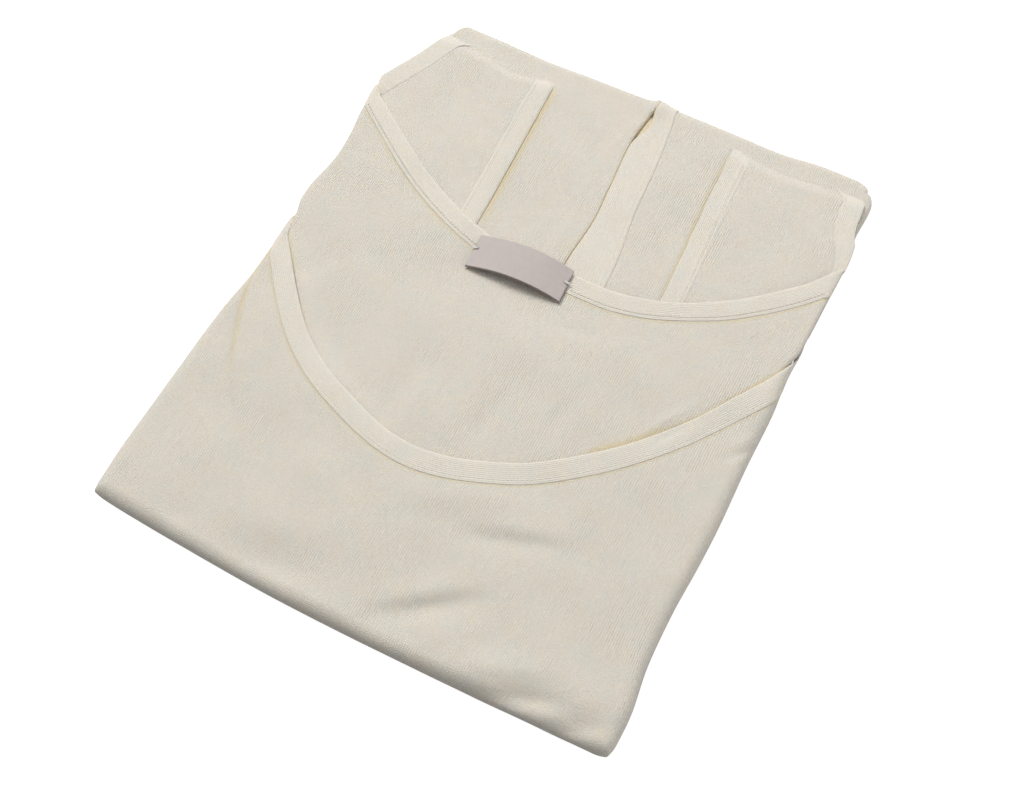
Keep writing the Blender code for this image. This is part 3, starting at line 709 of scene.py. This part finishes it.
def cloth(name, columns, rows, place, wall, finish):
    """A grid of cloth. place(u, v) gives its points, its cut's coordinates and its painted shade, a golden
    tint for crevices and gaps.

    u and v run 0..1 across and along. The outer face is the grid, and the wall goes in.
    """
    bm = bmesh.new()
    bmesh.ops.create_grid(bm, x_segments=columns, y_segments=rows, size=0.5)
    piece = finished(name, bm)
    mesh = piece.data
    flat = np.empty(len(mesh.vertices) * 3)
    mesh.vertices.foreach_get("co", flat)
    u, v = flat[0::3] + 0.5, flat[1::3] + 0.5
    points, cut, painted_shade = place(u, v)
    mesh.vertices.foreach_set("co", points.astype(np.float32).ravel())
    corner = np.empty(len(mesh.loops), np.int32)
    mesh.loops.foreach_get("vertex_index", corner)
    mesh.uv_layers.new(name="cut").data.foreach_set("uv", (cut[corner] * MM).astype(np.float32).ravel())
    # Painted shade: a per-point mask of golden colour for crevices, seams and gaps
    mesh.attributes.new("painted_shade", "FLOAT", "POINT").data.foreach_set("value", (painted_shade + 0 * u).astype(np.float32))
    mesh.materials.append(finish)
    mesh.update()
    thick = piece.modifiers.new("Wall", "SOLIDIFY")
    thick.thickness = wall * MM
    thick.offset = -1.0
    return piece


def pattern(across, along):
    """Places on a piece's cut, which its knit or weave follows."""
    return np.stack((across + 0.0 * along, along + 0.0 * across), axis=-1)


def binding_turn(table, share):
    """Off its seam, up from the panel, and how far round the binding's cut, at shares of it."""
    fine = np.linspace(0.0, 1.0, 200)
    off, up = through(table, fine, 1), through(table, fine, 2)
    run = np.concatenate(([0.0], np.cumsum(np.hypot(np.diff(off), np.diff(up)))))
    return through(table, share, 1), through(table, share, 2), np.interp(share, fine, run)


# Front panel and its neck binding

FRONT_FLAT = HALF_WIDTH - FRONT_FOLD
FRONT_FOOT = FOOT_END + FRONT_FOLD
FRONT_ARC = FRONT_FOLD * FOLD_TURN
LIP_HALF = 2.0
LIP_FROM = 0.16
LIP_TO = 0.21
FOOT_LEFT_SQUARE = 0.70
FOOT_RIGHT_SQUARE = 0.45
LEFT_SETTLES = 0.85
RIGHT_SETTLES = 0.6
SETTLES_OVER = (92, 110)
SEAM_DIP = 0.08


def tuck(across, along):
    """How the front panel stands where it laps over its own left side."""
    past_lip = across - held_through(TUCK_LIP, along)
    lasting = ramp(along, *TUCK_STARTS) * (1 - ramp(along, *TUCK_ENDS))
    lapped = ramp(past_lip, -0.7, 0.6) * (1 - ramp(past_lip, 8, 45))
    dip = -TUCK_DIP * hill(past_lip, -1.3, 1.1)
    return (TUCK_RISE * lapped + dip) * lasting


# Painted shade: golden colour left of the tuck's lip, where the lapped layer shades the panel below it
def tuck_painted_shade(across, along):
    left_of_lip = held_through(TUCK_LIP, along) - across
    held = ramp(along, *TUCK_PAINTED_SHADE_STARTS)
    return TUCK_PAINTED_SHADE * hill(left_of_lip, 0.7, 1.3) * held * (left_of_lip > -1.0)


def settled(across, along):
    """How far the ends of the neckline settle onto the back panel under them."""
    left = LEFT_SETTLES * ramp(-across, *SETTLES_OVER) * ramp(along, -50, -24)
    right = RIGHT_SETTLES * ramp(across, *SETTLES_OVER) * ramp(along, -24, 6)
    return left + right


def front_cloth(across, along, proud=0.0):
    """Points of the front panel's outer face, or of what lies proud of it."""
    held = np.clip(across, -FRONT_FLAT, FRONT_FLAT)
    side = (across - held) / FRONT_ARC
    end = np.minimum(along - FRONT_FOOT, 0.0) / FRONT_ARC
    base_y = np.maximum(along, FRONT_FOOT)
    section = fold_section(FRONT_TOP + proud, FOLD_FOOT, FRONT_FOLD + proud, FOLD_TURN)
    square = np.where(held < 0, FOOT_LEFT_SQUARE, FOOT_RIGHT_SQUARE)
    x, y, z = round_edge(held, base_y, side, end, section, square)
    return x, y, z + tuck(across, along) - settled(across, along) * z / FRONT_TOP


def lip_columns(u, along, low, high):
    """Columns that crowd together where the panel laps, to give its lip a crisp edge."""
    lip = held_through(TUCK_LIP, along)
    before = blend(low, lip - LIP_HALF, u / LIP_FROM)
    at = blend(lip - LIP_HALF, lip + LIP_HALF, (u - LIP_FROM) / (LIP_TO - LIP_FROM))
    after = blend(lip + LIP_HALF, high, (u - LIP_TO) / (1 - LIP_TO))
    return np.where(u < LIP_FROM, before, np.where(u < LIP_TO, at, after))


def front_panel(finish):
    foot_cells, length_cells = 12, 124
    reach = FRONT_FLAT + FRONT_ARC

    def place(u, v):
        foot, length, _ = stations(v, foot_cells, length_cells, 0)

        def up_to_seam(across):
            top = off_seam(FRONT_NECK_SEAM, across, UNDER_BINDING)
            return blend(FRONT_FOOT, top, length) - foot * FRONT_ARC

        across = lip_columns(u, up_to_seam(blend(-reach, reach, u)), -reach, reach)
        along = up_to_seam(across)
        near = near_seam(FRONT_NECK_SEAM, across, along)
        dip = -SEAM_DIP * hill(near, -0.6, 1.4)
        x, y, z = front_cloth(across, along)
        # Painted shade: golden colour beside the tuck's lip and in a line below the neck binding's seam
        painted_shade = tuck_painted_shade(across, along) + 0.55 * hill(near, -0.6, 0.55)
        return lay(x, y, z + dip), pattern(across, along), np.clip(painted_shade, 0, 1)

    return cloth("front_panel_cloth", 196, foot_cells + length_cells, place, JERSEY, finish)


def binding(name, seam, surface, low, high, columns, finish):
    """A neck binding that lies along a seam of a panel, folded under at its free edge."""

    steps = 400
    fine = np.linspace(low, high, steps)
    length = np.cumsum(np.hypot(1, leaning(seam, fine))) * (high - low) / steps

    def place(u, v):
        across = blend(low, high, u)
        off, up, round_it = binding_turn(NECK_TURN, v)
        x, y, z = surface(across, off_seam(seam, across, off), up)
        return lay(x, y, z), pattern(round_it, np.interp(across, fine, length)), 0.0

    return cloth(name, columns, 30, place, BINDING, finish)


def front_neck_binding(finish):
    reach = FRONT_FLAT + FRONT_ARC
    return binding("front_neck_binding", FRONT_NECK_SEAM, front_cloth, -reach, reach, 320, finish)


# Back panel, its neck binding and the label

BACK_FOOT_DEPTH = 3.0
BACK_SAG = 1.1
NECK_SWELL = 0.7
LABEL_PLY = 0.25
LABEL_MIDDLE = -8.9
LABEL_TURNED = radians(-3.0)
LABEL_ARCH = 3.0
LABEL_BOW = 1.1
LABEL_CLEAR = 0.25
LABEL_SEAM_OFF = 1.6
LABEL_PEEK = 0.35
LABEL_TURN_IN = 0.3
FACE_LIFT = 0.42
REVERSE_LIFT = 0.05
BINDING_PROUD = 0.7
TACK_RISE = 1.5
TACK_PULL = 0.45
TACK_STRANDS = (-0.38, 0.0, 0.38)


def covered(x, y, ahead=0.0):
    """1 where the front panel's side fold covers the layers below, down to 0."""
    end = np.where(x < 0, LEFT_COVERED_TO - ahead * LEFT_SLANT, RIGHT_COVERED_TO - ahead)
    return 1 - ramp(y, end, end + UNCOVERED_OVER)


def overlap_end(across):
    """Where the back panel ends, under the front panel."""
    return through(FRONT_NECK_SEAM, np.clip(across, -OVERLAP_HALF, OVERLAP_HALF)) - BACK_OVERLAP


def back_sag(x, y):
    """The back panel's drop between the two straps, where nothing lies under it."""
    return BACK_SAG * ramp(x, -46, -26) * ramp(-x, -50, -32) * ramp(y, -10, 25)


def back_cloth(across, along, proud=0.0):
    """Points of the back panel. across runs over its flat and on round its side folds."""
    whole = HALF_WIDTH - BACK_FOLD
    share = np.clip(across / whole, -1.0, 1.0)
    fold = (across - share * whole) / BACK_FOLD
    half = blend(BACK_OPEN_HALF, BACK_COVERED_HALF, covered(share, along, BACK_AHEAD))
    flat = half - BACK_FOLD
    section = fold_section(BACK_TOP + proud, BACK_TOP - BACK_FOOT_DEPTH, BACK_FOLD + proud, BACK_TURN)
    x, y, z = round_edge(share * flat, along, fold, 0.0, section)
    return x, y, z - back_sag(x, y)


def front_gap_painted_shade(x, y):
    """Painted shade: golden colour on the back panel in the gap beside the front binding's free edge."""
    off = near_seam(FRONT_NECK_SEAM, x, y) - BAND_WIDTH
    right = hill(off, 0.3, 1.0) * ramp(x, 60, 80)
    wedge = hill(off, 0.8, 2.2) * ramp(x, 52, 64) * (1 - ramp(x, 78, 90))
    left = hill(off, 0.2, 0.8) * ramp(-x, 98, 106)
    return np.maximum(np.maximum(right, wedge), left)


def back_panel(finish):
    def place(u, v):
        across = blend(-HALF_WIDTH, HALF_WIDTH, u)
        top = off_seam(BACK_NECK_SEAM, across, UNDER_BINDING)
        along = blend(overlap_end(across), top, v)
        near = near_seam(BACK_NECK_SEAM, across, along)
        dip = -SEAM_DIP * hill(near, -0.6, 1.4)
        x, y, z = back_cloth(across, along)
        off_binding = near_seam(FRONT_NECK_SEAM, x, y) - BAND_WIDTH
        z = z + NECK_SWELL * hill(off_binding, 1.0, 4.5) * ramp(-x, 10, 50)
        # Painted shade: golden colour in the gap beside the front binding's free edge and in a line below the
        # back binding's seam
        painted_shade = 0.75 * front_gap_painted_shade(x, y) + 0.60 * hill(near, -0.7, 0.7)
        return lay(x, y, z + dip), pattern(across, along), np.clip(painted_shade, 0, 1)

    return cloth("back_panel_cloth", 190, 112, place, JERSEY, finish)


def back_neck_binding(finish):
    return binding("back_neck_binding", BACK_NECK_SEAM, back_cloth, -HALF_WIDTH, HALF_WIDTH, 300, finish)


def label_point(run, rise, lift=0.0):
    """The label is tacked at its ends and arches over the seam between them."""
    arched = 1 - (2 * run / LABEL_LENGTH) ** 2
    rise = rise + LABEL_BOW * arched
    x = LABEL_MIDDLE + run * cos(LABEL_TURNED) + rise * sin(LABEL_TURNED)
    seam = through(BACK_NECK_SEAM, np.array(LABEL_MIDDLE))
    y = seam + LABEL_SEAM_OFF - run * sin(LABEL_TURNED) + rise * cos(LABEL_TURNED)
    z = BACK_TOP + BINDING_PROUD + LABEL_CLEAR + LABEL_ARCH * arched + lift - back_sag(x, y)
    return lay(x, y, z)


def tacked(run, rise):
    """How far the label's ends are pulled in at their tack stitches."""
    near_end = np.maximum(np.abs(run) - LABEL_LENGTH / 2 + 2.2, 0.0)
    return TACK_PULL * near_end * hill(rise, TACK_RISE, 1.1)


def label(face, back):
    """Two plies of ribbon: the face, and the turned-under reverse that peeks out below it."""

    def front_ply(u, v):
        run, rise = (u - 0.5) * LABEL_LENGTH, (v - 0.5) * LABEL_WIDTH
        pulled = tacked(run, rise)
        points = label_point(run - np.sign(run) * pulled, rise, FACE_LIFT - 0.3 * pulled)
        return points, pattern(run, rise), 0.0

    def back_ply(u, v):
        run = (u - 0.5) * (LABEL_LENGTH + 0.2)
        rise = (v - 0.5) * (LABEL_WIDTH - 2 * LABEL_TURN_IN) - LABEL_TURN_IN - LABEL_PEEK * (1 - v)
        return label_point(run, rise, REVERSE_LIFT), pattern(run, rise), 0.0

    return (
        cloth("woven_label_face", 96, 36, front_ply, LABEL_PLY, face),
        cloth("woven_label_back", 96, 24, back_ply, LABEL_PLY, back),
    )


def tack_stitches(finish):
    """White thread over each end of the label, three strands from its face into the neck."""
    middles, tips = [], []
    for end in (-1, 1):
        for strand in TACK_STRANDS:
            run = end * (LABEL_LENGTH / 2 - np.array([0.5, 0.5, 2.6]))
            rise = TACK_RISE + strand + np.array([0.0, 0.0, -0.35 * end])
            lift = np.array([0.62, 0.62, 0.66])
            points = label_point(run, rise, lift)
            outer = label_point(end * np.array([LABEL_LENGTH / 2 + 0.9]), TACK_RISE + strand, 0.1)[0]
            middles += [points[0], points[0]]
            tips += [points[2], outer]
    return stitches("label_tack_stitches", middles, tips, TACK_THREAD, finish)


# Straps, folded in behind the back panel, and the bindings along them

# About where a strap ends, to read how wide it is there
NEAR_HEAD = 132.0

# How each strap's neck binding ends at the head
NECK_END_HALF = 118.0
HEAD_BEND = 5.0
HEAD_SINK = 2.2


def strap(half, finish):
    """A strap's cloth, from where it is tucked in to its end, which rolls over."""
    side = half.side

    def out_at(along, share):
        inner = through(half.arm_seam, along) - UNDER_BINDING
        under = covered(side + 0 * along, along, STRAP_AHEAD)
        limit = blend(STRAP_OPEN_HALF, STRAP_COVERED_HALF, under)
        edge = through(half.strap_outer, along) + UNDER_BINDING
        return blend(inner, np.minimum(edge, limit), share)

    def place(u, v):
        share = 1 - u if side < 0 else u
        head = through(STRAP_HEAD, side * out_at(NEAR_HEAD + 0 * u, share))
        rolled = ramp(v, 0.965, 1.0)
        along = blend(TUCKED_END, head, v) + 0.8 * rolled
        out = out_at(along, share)
        z = STRAP_TOP - 1.3 * rolled ** 2
        return lay(side * out, along, z), pattern(side * out, along), 0.0

    return cloth(half.name + "_strap_cloth", 70, 128, place, JERSEY, finish)


def arm_binding(half, finish):
    """The armhole binding along a strap's inner edge."""
    side = half.side

    def place(u, v):
        turned = 1 - u if side > 0 else u
        off, up, round_it = binding_turn(half.arm_turn, turned)
        along = blend(TUCKED_END, NEAR_HEAD, v)
        out = through(half.arm_seam, along) - off
        head = through(STRAP_HEAD, side * out)
        rolled = ramp(v, 0.955, 1.0)
        z = STRAP_TOP + up - 1.2 * rolled ** 2
        along = blend(TUCKED_END, head, v) + 0.6 * rolled
        return lay(side * out, along, z), pattern(side * round_it, along), 0.0

    return cloth(half.name + "_armhole_binding", 36, 128, place, BINDING, finish)


def strap_neck_binding(half, finish):
    """The neck binding along a strap's outer edge, which bends in and sinks at its end."""
    side, (start, end) = half.side, half.neck_shown

    def place(u, v):
        turned = u if side > 0 else 1 - u
        off, up, round_it = binding_turn(half.neck_turn, turned)
        along = blend(start, end, v)
        seam, lean = through(half.strap_outer, along), leaning(half.strap_outer, along)
        limit = blend(NECK_END_HALF, HALF_WIDTH + 0.6, ramp(along, 86, 97)) - seam
        reach = off / BAND_WIDTH * np.minimum(half.neck_width * np.hypot(1, lean), limit)
        reach = reach - HEAD_BEND * (1 - off / BAND_WIDTH) * ramp(along, end - 9, end) ** 2
        z = STRAP_TOP + up - HEAD_SINK * ramp(v, 0.80, 1.0) ** 2
        return lay(side * (seam + reach), along, z), pattern(side * round_it, along), 0.0

    return cloth(half.name + "_strap_neck_binding", 36, 72, place, BINDING, finish)


# Lower body, folded up behind: two turned-in flaps and the binding between them

HEAD_CORNER = 11.0
ARM_SWELL = 0.65
HEAD_TURNS = (134, 141)
GAP_OPENS = 3.2
TURNED_RISE = 0.4
EDGE_ROLL = 0.5
NUB_RISE = 1.3
CENTRE_TUCK = 0.7
FLAP_UNDER = 2.0


def cut_corner(x, y):
    """The folded garment narrows towards the shoulders on its left, and is round on its right."""
    narrowed = x * (1 - 0.0032 * np.maximum(y - 98, 0.0) * ramp(y, 96, 112))
    out = np.maximum(x - HALF_WIDTH + HEAD_CORNER, 0.0)
    far = np.maximum(y - HEAD_END + HEAD_CORNER, 0.0)
    pulled = np.maximum(out, far) / np.maximum(np.hypot(out, far), 1e-6)
    corner = (out > 0) & (far > 0)
    right_x = np.where(corner, HALF_WIDTH - HEAD_CORNER + out * pulled, x)
    right_y = np.where(corner, HEAD_END - HEAD_CORNER + far * pulled, y)
    return np.where(x < 0, narrowed, right_x), np.where(x < 0, y, right_y)


def flap_inner(side, along):
    """Where a flap's inner edge lies: the right one's runs on under the binding."""
    return through(LEFT_FLAP_EDGE, along) if side < 0 else through(CENTRE_SEAM, along) - FLAP_UNDER


def flap_half(side, along):
    return blend(FLAP_OPEN_HALF, FLAP_COVERED_HALF, covered(side, along)) - FLAP_FOLD


def flap_point(out_share, inner, side, fold, head, along, proud):
    """out_share runs from the flap's inner edge (0) to the start of its side fold (1)."""
    base_x = blend(inner, side * flap_half(side + 0 * along, along), out_share)
    section = fold_section(FLAP_TOP + proud, FOLD_FOOT, FLAP_FOLD + proud, FOLD_TURN)
    x, y, z = round_edge(base_x, along, side * fold, head, section)
    return (*cut_corner(x, y), z)


def arm_edge_painted_shade(x, y):
    """Painted golden shade on the flaps beside the straps' armhole bindings."""
    left = x + through(LEFT_ARM_SEAM, y) - BAND_WIDTH
    right = through(RIGHT_ARM_SEAM, y) - BAND_WIDTH - x
    shade = 0.85 * hill(left, 0.4, 2.0) + 0.6 * hill(right, 0.3, 1.1)
    return shade * ramp(y, 38, 56) * (1 - ramp(y, 124, 134))


def nub(x_off, along):
    """The left flap's edge and the binding bunch up where they turn over the head fold."""
    return NUB_RISE * hill(x_off, 1.0, 4.0) * ramp(along, *HEAD_TURNS)


def side_flap(half, finish):
    side = half.side
    fold_cells, flat_cells, head_cells, length_cells = 10, 84, 12, 128

    def place(u, v):
        left, flat, right = stations(u, fold_cells * (side < 0), flat_cells, fold_cells * (side > 0))
        _, length, head = stations(v, 0, length_cells, head_cells)
        along = blend(TUCKED_END, HEAD_END - FLAP_FOLD, length)
        inner = flap_inner(side, along)
        share = flat if side > 0 else 1 - flat
        edge_off = share * np.abs(side * flap_half(side + 0 * along, along) - inner)
        if side < 0:
            turned_in = held_through(TURNED_EDGE, along)
            proud = TURNED_RISE * (1 - ramp(edge_off, turned_in - 1.2, turned_in + 1.2))
            proud = proud - EDGE_ROLL * (1 - ramp(edge_off, 0.0, 1.2)) ** 2 + nub(edge_off, along)
            edge_painted_shade = 0.8 * (1 - ramp(edge_off, 0.0, 0.9))
        else:
            proud = 0.0
            edge_painted_shade = 0.25 * hill(edge_off, 0.4, 1.2)
        x, y, z = flap_point(share, inner, side, np.maximum(left, right), head, along, proud)
        arm_edge = side * (through(half.arm_seam, y) - BAND_WIDTH)
        z = z + ARM_SWELL * hill(x, arm_edge, 5.0) * ramp(y, 20, 40) * (1 - ramp(y, 126, 136))
        # Painted shade: golden colour beside the armhole bindings and along the flap's inner edge
        painted_shade = arm_edge_painted_shade(x, y) + edge_painted_shade
        cut_across = x + side * np.maximum(left, right) * FLAP_FOLD
        return lay(x, y, z), pattern(cut_across, along + head * FLAP_FOLD * FOLD_TURN), np.clip(painted_shade, 0, 1)

    columns, rows = flat_cells + fold_cells, length_cells + head_cells
    return cloth(half.name + "_flap_cloth", columns, rows, place, JERSEY, finish)


def centre_gap(along):
    """The gap between the left flap's edge and the binding, which opens near the head."""
    return 0.1 - 0.5 * ramp(along, *HEAD_TURNS) + GAP_OPENS * hill(along, 129.5, 7.5)


def centre_binding(finish):
    head_cells, length_cells = 12, 128
    half_turn = 0.76
    ridge = 4.0

    def place(u, v):
        _, length, head = stations(v, 0, length_cells, head_cells)
        along = blend(TUCKED_END, HEAD_END - FLAP_FOLD, length)
        inner = flap_inner(-1, along) + centre_gap(along) - CENTRE_TUCK
        outer = through(CENTRE_SEAM, along)
        off, up, round_it = binding_turn(RIDGED_TURN, (1 - u) * half_turn)
        widened = (outer - inner - ridge) / (BAND_WIDTH - ridge)
        past_ridge = np.maximum(off - ridge, 0.0) * (widened - 1)
        off, round_it = off + past_ridge, round_it + past_ridge
        proud = 0.2 + 1.2 * up + 0.8 * nub(outer - off - inner, along)
        x, y, z = flap_point(0.0, outer - off, 1, 0.0, head, along, proud)
        # Painted shade: golden colour towards the binding's free edge, in the gap beside the left flap
        painted_shade = 0.7 * ramp(off, outer - inner - 1.2, outer - inner)
        return lay(x, y, z), pattern(round_it, along + head * FLAP_FOLD * FOLD_TURN), painted_shade

    return cloth("centre_binding", 44, length_cells + head_cells, place, BINDING, finish)


# Hidden layers: one rounded form whose edges show rolled plies

HIDDEN_IN = 0.4
HIDDEN_REACH = 2.4
HIDDEN_FRONT_REACH = 4.5
GAP_RISE = 1.15


def past(end, y):
    """How far the hidden layers have stepped up, beyond the end of a covered layer."""
    return ramp(end - y, HIDDEN_STEP_FROM, HIDDEN_STEP_TO)


def hidden_height(x, y):
    height = blend(HIDDEN_UNDER_FLAPS, HIDDEN_UNDER_BACK, past(TUCKED_END, y))
    return blend(height, HIDDEN_UNDER_FRONT, past(overlap_end(x), y))


def hidden_layers(finish):
    fold_cells, flat_cells, length_cells = 24, 60, 72

    def place(u, v):
        left, flat, right = stations(u, fold_cells, flat_cells, fold_cells)
        foot, length, head = stations(v, fold_cells, length_cells, fold_cells)
        across_share, side, end = 2 * flat - 1, right - left, head - foot
        along = blend(FRONT_FOOT + HIDDEN_IN, HEAD_END - FLAP_FOLD, length)
        under_front = past(TUCKED_END, along)
        half = blend(flap_half(across_share, along) - HIDDEN_IN, FRONT_FLAT - HIDDEN_IN, under_front)
        reach = blend(HIDDEN_REACH, HIDDEN_FRONT_REACH, under_front)
        base_x = across_share * half
        height = hidden_height(base_x, along)

        def section(share):
            return through(HIDDEN_EDGE, share, 1) * reach, through(HIDDEN_EDGE, share, 2) * height

        square = np.where(end < 0, np.where(side < 0, FOOT_LEFT_SQUARE, FOOT_RIGHT_SQUARE), 0.0)
        x, y, z = round_edge(base_x, along, side, end, section, square)
        between_flaps = hill(x, 8.0, 3.5) * ramp(y, 24, 40)
        z = z + GAP_RISE * between_flaps * (np.maximum(side, end) <= 0)
        # Painted shade: a faint golden tint over all the hidden plies, stronger where they show between the
        # flaps
        return lay(*cut_corner(x, y), z), pattern(base_x, along), 0.12 + 0.6 * between_flaps

    columns, rows = 2 * fold_cells + flat_cells, 2 * fold_cells + length_cells
    piece = cloth("folded_plies", columns, rows, place, JERSEY, finish)
    piece.modifiers.clear()
    bm = bmesh.new()
    bm.from_mesh(piece.data)
    rim = [edge for edge in bm.edges if edge.is_boundary]
    underside = bmesh.ops.edgeloop_fill(bm, edges=rim)["faces"]
    bmesh.ops.triangulate(bm, faces=underside)
    bm.to_mesh(piece.data)
    bm.free()
    return piece


# Sewing


def stitches(name, middles, tips, thickness, finish):
    """Thread stitches, each from its middle to its tip and as far the other way."""
    bm = bmesh.new()
    for middle, tip in zip(middles, tips):
        way = Vector(tip) - Vector(middle)
        turned = way.to_track_quat("X", "Z").to_matrix().to_4x4()
        size = Matrix.Diagonal((way.length, thickness * MM, thickness * MM, 1.0))
        bmesh.ops.create_icosphere(
            bm, subdivisions=1, radius=1.0, matrix=Matrix.Translation(Vector(middle)) @ turned @ size,
        )
    piece = finished(name, bm)
    piece.data.materials.append(finish)
    return piece


def seam_runs(seam, low, high, pitch):
    """Places across, a stitch apart along a seam."""
    fine = np.linspace(low, high, 2000)
    length = np.concatenate(([0], np.cumsum(np.hypot(np.diff(fine), np.diff(through(seam, fine))))))
    return np.interp(np.arange(pitch, length[-1] - pitch, pitch), length, fine)


def zigzag(name, seam, surface, row, swing, finish):
    """The needle threads of a coverstitch, to and fro across a line off a seam."""
    across = seam_runs(seam, row.low, row.high, row.pitch / 2)
    way = np.where(np.arange(len(across)) % 2 == 0, 1.0, -1.0)
    step = np.gradient(across)

    def at(share):
        off = off_seam(seam, across, row.off + share * way * swing / 2)
        return lay(*surface(across + share * step * 0.5, off, row.height))

    return stitches(name, at(0.0), at(0.95), COVERSTITCH_THREAD, finish)


def running(name, seam, surface, row, finish):
    """A straight row of stitches beside a seam."""
    across = seam_runs(seam, row.low, row.high, row.pitch)
    step = np.gradient(across)

    def at(share):
        place = across + share * step * 0.5
        return lay(*surface(place, off_seam(seam, place, row.off), row.height))

    return stitches(name, at(0.0), at(0.74), FRONT_THREAD, finish)


def up_the_strap(half, row, finish):
    """A straight row of stitches beside the armhole seam that runs up a strap."""
    along = np.arange(row.low, row.high, row.pitch)

    def at(share):
        place = along + share * row.pitch / 2
        out = through(half.arm_seam, place) - row.off
        return lay(half.side * out, place, STRAP_TOP - 0.2 + row.height + 0 * place)

    return stitches(half.name + "_armhole_stitching", at(0.0), at(0.74), ARMHOLE_THREAD, finish)


def dress(piece, nodes=(), sheet=True):
    """Puts a piece on the garment's body and hides the solids named in nodes. A sheet's cut coordinates are
    read, and nothing more is done with them.
    """
    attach(piece, "root")
    if nodes:
        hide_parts(*nodes)
    if sheet:
        cut = np.empty(len(piece.data.loops) * 2, np.float32)
        piece.data.uv_layers["cut"].data.foreach_get("uv", cut)
        cut = cut.reshape(-1, 2)
    return piece


def main():
    camera()
    studio()
    floor_board()

    body = jersey("brushed_jersey", WALE, COURSE, relief=0.31, roughness=0.88)
    edging = jersey("jersey_binding", WALE * FINER, COURSE * FINER, relief=0.20, roughness=0.84)
    plies = jersey("jersey_folded_edges", WALE, COURSE, relief=0.16, roughness=0.92)
    ribbon = satin("woven_satin", *RIBBON_TONES)
    ribbon_back = satin("woven_satin_back", *REVERSE_TONES)
    sewing = thread("sewing_thread", CREAM_THREAD)
    white_thread = thread("white_tack_thread", WHITE_THREAD)

    heap = dress(hidden_layers(plies), ["hidden_layers"], sheet=False)
    flaps, straps = [], []
    for half in (LEFT, RIGHT):
        flap = side_flap(half, body)
        flaps.append(dress(flap, [half.name + "_side_flap"]))
    dress(centre_binding(edging), ["centre_band"])
    for half, flap in zip((LEFT, RIGHT), flaps):
        straps.append(dress(strap(half, body), [half.name + "_strap"]))
    for half, flap in zip((LEFT, RIGHT), flaps):
        dress(arm_binding(half, edging), [half.name + "_armhole_band"])
    for half, flap in zip((LEFT, RIGHT), flaps):
        dress(strap_neck_binding(half, edging), [half.name + "_strap_neck_band"])
    back = dress(back_panel(body), ["back_panel"])
    dress(back_neck_binding(edging), ["back_neck_band"])
    face, reverse = label(ribbon, ribbon_back)
    dress(face, ["label"])
    dress(reverse)
    dress(tack_stitches(white_thread), sheet=False)
    front = dress(front_panel(body), ["front_panel"])
    dress(front_neck_binding(edging), ["front_neck_band"])

    zig = zigzag("back_neck_coverstitch", BACK_NECK_SEAM, back_cloth, COVERSTITCH, COVERSTITCH_SWING, sewing)
    dress(zig, sheet=False)
    run = running("front_neck_stitching", FRONT_NECK_SEAM, front_cloth, FRONT_STITCHES, sewing)
    dress(run, sheet=False)
    for half in (LEFT, RIGHT):
        dress(up_the_strap(half, ARMHOLE_STITCHES, sewing), sheet=False)


main()
